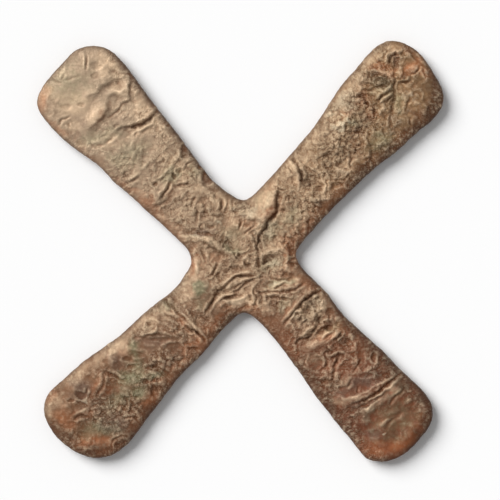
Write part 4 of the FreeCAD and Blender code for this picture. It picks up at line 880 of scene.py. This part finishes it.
# Grey oxide in patches; the first, just north of the long ridge west of the crossing, is partly painted
# shade
GREY = [
    (-18.4, 8.4, 4.4, 1.5, -6, 1.0), (-17, 36, 3, 4.4, 30, 0.9), (-82, 57, 5.5, 2.4, -35, 0.5),
    (-79, -69, 5, 5, -15, 0.9), (60, -65, 7, 3, 12, 0.9), (51, -69, 4.4, 2.2, 0, 0.6),
    (58, -76.6, 4, 2, 15, 0.6), (67, -91, 4.6, 3, 0, 0.8), (77.4, 94.6, 3.4, 4, -15, 0.7),
    (67, 88, 3, 1.6, 0, 0.5), (85, 101, 5, 2.4, -40, 0.6), (-45, -46, 9, 4, 5, 0.5),
    (-63, -86, 8, 4, 10, 0.8), (74, 59, 4, 2, 20, 0.4), (-62, -54, 5, 4, 0, 0.6),
    (-70, -78, 6, 4, 0, 0.4), (-80, 62, 5, 4, 0, 0.3), (-33, -52, 9, 5, 30, 0.3),
]
PALE = [
    (4, -2, 28, 24, 20, 0.5), (38, 38, 26, 9, 47, 0.5), (32, -30, 10, 10, 0, 0.7), (14, 20, 10, 16, 0, 0.6),
    (18, -17.6, 5, 1.6, 12, 1.0), (15, 0, 6, 4, 0, 1.1), (19, -7, 5, 5, 0, 1.3), (1, -25, 8, 3.4, 0, 1.1),
    (13, 12, 5, 4, 0, 0.9), (20, 18, 5, 4, 45, 0.7), (31, 20, 8, 4, 47, 0.9), (39, 27, 7, 4, 47, 0.7),
    (51, 40, 6, 4, 45, 0.8), (56, 47, 5, 4, 45, 0.7), (27, 41, 9, 4.4, 47, 1.0), (43, 59, 9, 5, 50, 1.0),
    (52, 75, 9, 6, 52, 0.9), (57, 84, 6, 4, 50, 0.9), (62, 65, 5, 4, 0, 0.6), (57, 58, 5, 4, 0, 0.5),
    (-25, -13, 5, 4, 45, 1.3), (-31, 40, 10, 4, -45, 0.8), (-46, 68, 9, 5, -45, 0.7),
    (-66, 91, 9, 5, -40, 0.6), (-93, -75, 5, 5, 60, 0.5), (-6, -19, 6, 4, 30, 0.9),
    (-24, -39, 5, 4, 45, 0.6), (11, -26, 5, 3, -20, 0.9), (37, -27, 5, 5, 45, 1.2),
    (31, -33, 5, 4, 45, 1.0), (36, -40, 5, 4, 45, 0.8), (35, -53, 5, 4, -50, 0.4), (47, -66, 6, 4, 0, 0.4),
    (-84, 60, 5, 4, -40, 0.6), (-100, 78, 4, 5, 0, 0.8), (-88, 78, 5, 4, 0, 0.4), (-84, 74, 9, 5, 10, 0.7),
    (-72, 68, 8, 5, 30, 0.5), (-60, 80, 6, 2.4, -5, 0.6), (-53, 59, 8, 1.6, 30, 0.5),
    (-64, 54, 5, 4, 0, 0.4), (10, 25, 7, 6, 40, 0.8), (4, 20, 8, 3, 0, 0.9), (-2, 22, 5, 3, 0, 0.6),
    (26, 44, 8, 5, 48, 0.8),
    (48.5, 62.6, 2.4, 1.8, 0, 1.3), (53.5, 65, 1.6, 1.6, 0, 1.2), (45, 68, 4, 3, 40, 1.1),
    (48, 76, 10, 4, 52, 0.7), (38, 58, 12, 4, 46, 0.7), (65, 96, 7, 4, 45, 0.8), (58, 88, 6, 4, 45, 0.7),
    (73, 102, 6, 2.6, 0, 0.6), (-82, -61, 7, 3.4, 38, 0.8), (-62, -47, 8, 4, 40, 1.0),
    (-70, -53.6, 8, 2.4, 35, 0.6), (-46, -35, 8, 4, 38, 0.8), (-36, -31, 7, 4, -20, 0.5),
    (-28, -19, 7, 5, 45, 0.8), (-24, 6, 9, 1.4, 0, 0.8), (-21, -7, 3, 6, 0, 0.5), (12, -8, 5, 2.4, 30, 0.6),
    (14, 3, 3, 6, 0, 0.6), (20, 4, 4, 2.6, 0, 0.8), (77, -66, 6, 2.4, 45, 0.8), (66, -77.6, 9, 1.8, 42, 0.6),
    (25, -27, 6, 4, 45, 0.7), (41, -25, 5, 3.6, 30, 0.6), (44, -41, 7, 2, 35, 0.5),
    (29, -14.6, 3, 2.4, 30, 0.9), (20, -16.6, 6, 2, 14, 0.9), (37, -46, 6, 3, 15, 0.5),
    (26, -23, 6, 1.2, 0, 0.6), (-20, 32, 6, 3.4, 0, 0.6), (-28, 20, 6, 4, 0, 0.5),
    (-10, 26, 6, 3.4, 90, 0.4), (6, -7, 2, 4, 0, 0.6), (-6, -14, 6, 2.4, 30, 0.7),
    (-9, -21, 6, 2, 10, 0.6), (2, -21, 4, 3, 0, 0.6), (-97, -78, 3.4, 6, 0, 0.7), (52, -74, 7, 1.6, 5, 0.6),
]
# White flecks of deposit; those on the granular lumps of the north-east arm are partly painted glints
CHALK_AND_GLINTS = [
    (48.6, 62.4, 1.8, 1.2, 0, 1.2), (53.4, 65.2, 0.9, 1.1, 0, 1.2), (46, 68.6, 1.6, 1.2, 0, 0.6),
    (50.4, 67.6, 0.9, 0.7, 0, 0.7), (17.6, -17.6, 2.6, 0.8, 12, 0.6), (22.6, -15.6, 2, 0.7, 12, 0.4),
    (23.2, -29.4, 1.6, 0.7, 20, 0.5), (-76.5, -74.3, 0.8, 0.4, 0, 0.6), (-67, -87.8, 0.6, 0.4, 0, 0.6),
    (72.2, -91, 0.7, 0.5, 0, 0.8), (-12, 14.2, 1.2, 0.7, 0, 0.6), (1, 21.2, 2, 0.5, 0, 0.6),
    (-3, 21.8, 0.8, 0.5, 0, 0.6), (-22.6, 7.6, 2.2, 0.7, -5, 0.5), (42, -43, 2, 0.5, 38, 0.5),
    (46.6, -39.8, 2, 0.5, 38, 0.5), (42.8, -34, 1.2, 0.6, 0, 0.4), (39, -23.6, 1.4, 1, 0, 0.4),
    (47.6, 53.8, 1, 0.9, 0, 0.4), (19, -6, 4, 3.6, 0, 0.5), (13, 12, 4, 3, 0, 0.4), (50, 76, 6, 3, 52, 0.5),
    (56, 71, 4, 3, 0, 0.4), (1, -25, 6, 2, 0, 0.4), (37, -27, 4, 3, 45, 0.4), (30, -33, 3, 3, 0, 0.4),
    (6, 19, 4, 3, 0, 0.4),
]
straying = np.stack([noise_at(flat_spots, 8.0, 31), noise_at(flat_spots, 8.0, 32)], axis=1)
ragged = plan + 1.6 * waver + straying * 3.0  # in millimetres, so that no patch has an oval's even edge


def patches(ovals):
    """How thickly each place is covered by soft-edged patches, from 0 to a little over 1."""
    cover = np.zeros(len(places))
    for *oval, strength in ovals:
        cover = np.maximum(cover, strength * np.exp(-0.6 * from_middle(ragged, *oval) ** 2.4))
    return cover


# Handling has rubbed the lower and right-hand edges down to copper
outward = -into_metal[np.array([rim_tree.find((x, y, 0))[1] for x, y in plan.tolist()])]
worn_side = step_up(outward @ np.array([0.5, -0.87]), -0.25, 0.75)
patchy = 0.35 + 0.65 * step_up(noise_at(flat_spots, 12.0, 33), -0.3, 0.3)
worn_band = worn_side * (1 - step_up(inset + 2.5 * waver[:, 0], 1.0, 8.5)) * 0.45 * patchy
# The side turned away from the lamp gets a wider and darker rim: painted shade
side_away_from_lamp = step_up(outward @ np.array([0.85, -0.53]), -0.3, 0.6)
marks = {
    "dirt_and_shade_in_hollows": dirt_and_shade_in_hollows, "wear_and_highlight_on_crests": wear_and_highlight_on_crests, "crease": crease_shade,
    "copper": np.maximum(patches(COPPER), worn_band), "rust": patches(RUST), "green": patches(GREEN),
    "grey": patches(GREY), "pale": patches(PALE), "dark": patches(DARK_OXIDE_AND_SHADE), "chalk_and_glints": patches(CHALK_AND_GLINTS),
    "rough": np.clip(0.7 * busy * (1 - 0.8 * smooth) + 0.5 * granular, 0, 1),
    "edge": (1 - step_up(inset, 0.0, 3.2 + 2.0 * side_away_from_lamp)) * (0.85 + 0.45 * side_away_from_lamp),
}
# The dark rim is oxide, with painted shade reaching wider and darker on the side away from the lamp; the
# wall and underside take it in full
marks["edge"] *= 1 - 0.6 * np.clip(marks["copper"], 0, 1)
marks["edge"][:shoulder_start] = 1
marks["edge"][underside_start:] = 1
for name, values in marks.items():
    cross_mesh.attributes.new(name, "FLOAT", "POINT").data.foreach_set("value", values.astype(np.float32))
cross_mesh.polygons.foreach_set("use_smooth", np.ones(len(faces), bool))
cross_mesh.update()


def to_linear(code):
    """The linear colour of an sRGB hex code, with full alpha."""
    parts = [int(code[i:i + 2], 16) / 255 for i in (1, 3, 5)]
    return [c / 12.92 if c <= 0.04045 else ((c + 0.055) / 1.055) ** 2.4 for c in parts] + [1]


def add_node(tree, kind, settings={}, inputs={}):
    """Adds a node, makes its settings, and gives its inputs values or the outputs of other nodes."""
    made = tree.nodes.new(kind)
    for name, value in settings.items():
        setattr(made, name, value)
    for name, value in inputs.items():
        if isinstance(value, bpy.types.NodeSocket):
            tree.links.new(value, made.inputs[name])
        else:
            made.inputs[name].default_value = value
    return made


# Cast copper with an old brown skin of oxides, mostly matt with a low metal sheen. The crests are lighter,
# partly from rubbing and partly as painted highlight.
NORTH_WEST_SKIN, NORTH_EAST_SKIN = "#A28B73", "#866747"
SOUTH_WEST_SKIN, SOUTH_EAST_SKIN = "#684932", "#693B25"
# Each colour lies over those before it: (mark on the mesh, colour, strength)
LAYERS = [
    ("pale", "#CBAE8E", 0.65), ("grey", "#6A5448", 0.7), ("copper", "#A5623A", 0.6),
    ("green", "#6A7558", 0.6), ("rust", "#75401F", 0.8), ("dark", "#3C2414", 0.8),
    ("chalk_and_glints", "#DCD0B4", 0.65),
]
# Then dirt and painted shade in hollows and creases, oxide and painted shade at the rim, wear and painted
# highlight on crests
DIRT_AND_SHADE_BROWN, WEAR_AND_HIGHLIGHT_BEIGE, RIM_OXIDE_AND_SHADE, STAIN_AND_SHADE = "#5C361A", "#CFBA9D", "#3E2619", "#3A2412"
DIRT_WEAR_AND_PAINTED_LIGHT = [("edge", RIM_OXIDE_AND_SHADE, 0.75), ("dirt_and_shade_in_hollows", DIRT_AND_SHADE_BROWN, 0.6), ("crease", STAIN_AND_SHADE, 0.5), ("wear_and_highlight_on_crests", WEAR_AND_HIGHLIGHT_BEIGE, 0.4)]
ARM_SPREAD = 0.07  # metres from the crossing to where an arm's own colour is full
CLOUD_SIZE = 0.009  # metres, of the broad light and dark clouds in the skin
BLOTCH_SIZE = 0.004  # of the ragged edge of each patch
FLECK_SIZE = 0.001
GRAIN_SIZE = 0.0006  # a little over one pixel of the photograph, because finer grain wouldn't show
PIT_HEIGHT = 0.0012  # of the flecks and grains, which are bumps in the material only
# (size, detail, roughness) of the cloud, fleck, grain and blotch noise
NOISES = [(CLOUD_SIZE, 4.0, 0.6), (FLECK_SIZE, 1.0, 0.6), (GRAIN_SIZE, 1.0, 0.6), (BLOTCH_SIZE, 4.0, 0.7)]
FACTOR, COLOUR_A, COLOUR_B, MIXED = 0, 6, 7, 2  # sockets of a Mix node set to colour

patina = bpy.data.materials.new("brown_patina_on_cast_copper")
patina.use_nodes = True
tree = patina.node_tree
tree.nodes.clear()
where = add_node(tree, "ShaderNodeTexCoord").outputs["Object"]
split = add_node(tree, "ShaderNodeSeparateXYZ", {}, {0: where})
cloud, fleck, grain, blotch = [
    add_node(tree, "ShaderNodeTexNoise", {}, {
        "Vector": where, "Scale": 1 / size, "Detail": detail, "Roughness": unevenness}).outputs["Fac"]
    for size, detail, unevenness in NOISES
]
east, north = [
    add_node(tree, "ShaderNodeMapRange", {"interpolation_type": "SMOOTHSTEP"}, {
        "Value": split.outputs[axis], "From Min": -ARM_SPREAD, "From Max": ARM_SPREAD}).outputs[0]
    for axis in ("X", "Y")
]
northern, southern = [
    add_node(tree, "ShaderNodeMix", {"data_type": "RGBA"}, {
        FACTOR: east, COLOUR_A: to_linear(in_west), COLOUR_B: to_linear(in_east)}).outputs[MIXED]
    for in_west, in_east in ((NORTH_WEST_SKIN, NORTH_EAST_SKIN), (SOUTH_WEST_SKIN, SOUTH_EAST_SKIN))
]
colour = add_node(tree, "ShaderNodeMix", {"data_type": "RGBA"}, {
    FACTOR: north, COLOUR_A: southern, COLOUR_B: northern}).outputs[MIXED]
broken = add_node(tree, "ShaderNodeMath", {"operation": "MULTIPLY_ADD"}, {
    0: blotch, 1: 1.2, 2: -0.6}).outputs[0]
for name, code, strength in LAYERS:
    painted = add_node(tree, "ShaderNodeAttribute", {"attribute_name": name}).outputs["Fac"]
    edged = add_node(tree, "ShaderNodeMath", {"operation": "ADD"}, {0: painted, 1: broken}).outputs[0]
    share = add_node(tree, "ShaderNodeMapRange", {}, {
        "Value": edged, "From Min": 0.1, "From Max": 0.9, "To Max": strength}).outputs[0]
    colour = add_node(tree, "ShaderNodeMix", {"data_type": "RGBA"}, {
        FACTOR: share, COLOUR_A: colour, COLOUR_B: to_linear(code)}).outputs[MIXED]
for name, code, strength in DIRT_WEAR_AND_PAINTED_LIGHT:
    painted = add_node(tree, "ShaderNodeAttribute", {"attribute_name": name}).outputs["Fac"]
    share = add_node(tree, "ShaderNodeMath", {"operation": "MULTIPLY", "use_clamp": True}, {
        0: painted, 1: strength}).outputs[0]
    colour = add_node(tree, "ShaderNodeMix", {"data_type": "RGBA"}, {
        FACTOR: share, COLOUR_A: colour, COLOUR_B: to_linear(code)}).outputs[MIXED]
height = add_node(tree, "ShaderNodeMath", {"operation": "MULTIPLY_ADD"}, {
    0: grain, 1: 1.5, 2: fleck}).outputs[0]
pitted = add_node(tree, "ShaderNodeAttribute", {"attribute_name": "rough"}).outputs["Fac"]
# Fine pits of the bump are tinted darker and its grain tops lighter: painted shade and painted glints
for code, lowest, highest, strength in ((DIRT_AND_SHADE_BROWN, 1.25, 0.8, 0.5), (WEAR_AND_HIGHLIGHT_BEIGE, 1.25, 1.7, 0.6)):
    share = add_node(tree, "ShaderNodeMapRange", {}, {
        "Value": height, "From Min": lowest, "From Max": highest, "To Max": strength}).outputs[0]
    share = add_node(tree, "ShaderNodeMath", {"operation": "MULTIPLY", "use_clamp": True}, {
        0: share, 1: pitted}).outputs[0]
    colour = add_node(tree, "ShaderNodeMix", {"data_type": "RGBA"}, {
        FACTOR: share, COLOUR_A: colour, COLOUR_B: to_linear(code)}).outputs[MIXED]
mottle = add_node(tree, "ShaderNodeMapRange", {}, {
    "Value": cloud, "From Min": 0.3, "From Max": 0.7, "To Min": 0.82, "To Max": 1.24}).outputs[0]
# Crests lighten further, as rubbing wear and painted highlight
rubbed_and_highlit = add_node(tree, "ShaderNodeAttribute", {"attribute_name": "wear_and_highlight_on_crests"}).outputs["Fac"]
mottle = add_node(tree, "ShaderNodeMath", {"operation": "MULTIPLY_ADD"}, {
    0: rubbed_and_highlit, 1: 0.25, 2: mottle}).outputs[0]
shaded = add_node(tree, "ShaderNodeVectorMath", {"operation": "SCALE"}, {
    0: colour, "Scale": mottle}).outputs[0]
roughness = add_node(tree, "ShaderNodeMapRange", {}, {
    "Value": fleck, "From Min": 0.3, "From Max": 0.7, "To Min": 0.48, "To Max": 0.75}).outputs[0]
bump = add_node(tree, "ShaderNodeBump", {}, {
    "Height": height, "Strength": pitted, "Distance": PIT_HEIGHT}).outputs[0]
shader = add_node(tree, "ShaderNodeBsdfPrincipled", {}, {
    "Base Color": shaded, "Roughness": roughness, "Metallic": 0.35, "Specular IOR Level": 0.25,
    "Normal": bump})
add_node(tree, "ShaderNodeOutputMaterial", {}, {"Surface": shader.outputs[0]})
cross_mesh.materials.append(patina)

cross = bpy.data.objects.new("cast_cross_skin", cross_mesh)
bpy.context.scene.collection.objects.link(cross)
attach(cross, "root")
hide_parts("cast_cross")

# The table, the light and the camera
# The cross lies on a plain white table, under a broad lamp to the upper left and an even white room, and the
# camera looks straight down from far enough away to show no side walls.

FLOOR_SIZE = 4.0
floor_mesh = bpy.data.meshes.new("floor")
half = FLOOR_SIZE / 2
floor_corners = [(-half, -half, 0), (half, -half, 0), (half, half, 0), (-half, half, 0)]
floor_mesh.from_pydata(floor_corners, [], [(0, 1, 2, 3)])
floor = bpy.data.objects.new("floor", floor_mesh)
bpy.context.scene.collection.objects.link(floor)
white = bpy.data.materials.new("white_table")
white.use_nodes = True
paint = white.node_tree.nodes["Principled BSDF"].inputs
paint["Base Color"].default_value = to_linear("#FDFDFD")
paint["Roughness"].default_value = 0.9
paint["Specular IOR Level"].default_value = 0.0
floor_mesh.materials.append(white)

ROOM_LIGHT = 0.3
room = bpy.data.worlds.new("white_room")
bpy.context.scene.world = room
room.use_nodes = True
sky = room.node_tree
sky.nodes.clear()
rays = add_node(sky, "ShaderNodeLightPath")
seen = add_node(sky, "ShaderNodeMath", {"operation": "MAXIMUM"}, {
    0: rays.outputs["Is Camera Ray"], 1: rays.outputs["Is Transmission Ray"]}).outputs[0]
seen = add_node(sky, "ShaderNodeMath", {"operation": "MAXIMUM"}, {
    0: seen, 1: rays.outputs["Is Glossy Ray"]}).outputs[0]
strength = add_node(sky, "ShaderNodeMapRange", {}, {
    "Value": seen, "To Min": ROOM_LIGHT, "To Max": 1.0}).outputs[0]
glow = add_node(sky, "ShaderNodeBackground", {}, {"Color": (1, 1, 1, 1), "Strength": strength})
add_node(sky, "ShaderNodeOutputWorld", {}, {"Surface": glow.outputs[0]})

LAMP_STRENGTH = 3.45
LAMP_FROM = Vector((-0.66, 0.52, 0.7))
LAMP_ANGLE = 40  # degrees, how wide the lamp looks from the cross
lamp_data = bpy.data.lights.new("broad_lamp", "SUN")
lamp_data.energy = LAMP_STRENGTH
lamp_data.angle = math.radians(LAMP_ANGLE)
lamp = bpy.data.objects.new("broad_lamp", lamp_data)
lamp.rotation_euler = LAMP_FROM.to_track_quat("Z", "Y").to_euler()
bpy.context.scene.collection.objects.link(lamp)

PICTURE_WIDTH = 500  # pixels
PIXEL_SIZE = 0.0005  # metres on the cross
MIDDLE_PIXEL = (240.5, 251.0)  # the middle of the outline's box in the photograph
CAMERA_HEIGHT = 1.6  # metres above the widest line of the edge
SENSOR_WIDTH = 36.0  # millimetres
camera_data = bpy.data.cameras.new("camera")
camera = bpy.data.objects.new("camera", camera_data)
camera.location = (
    (PICTURE_WIDTH / 2 - MIDDLE_PIXEL[0]) * PIXEL_SIZE,
    (MIDDLE_PIXEL[1] - PICTURE_WIDTH / 2) * PIXEL_SIZE,
    CAMERA_HEIGHT + WIDEST_LEVEL * MM,
)
camera_data.sensor_width = SENSOR_WIDTH
camera_data.lens = SENSOR_WIDTH * CAMERA_HEIGHT / (PICTURE_WIDTH * PIXEL_SIZE)
bpy.context.scene.collection.objects.link(camera)
bpy.context.scene.camera = camera
bpy.context.scene.view_settings.view_transform = "Standard"
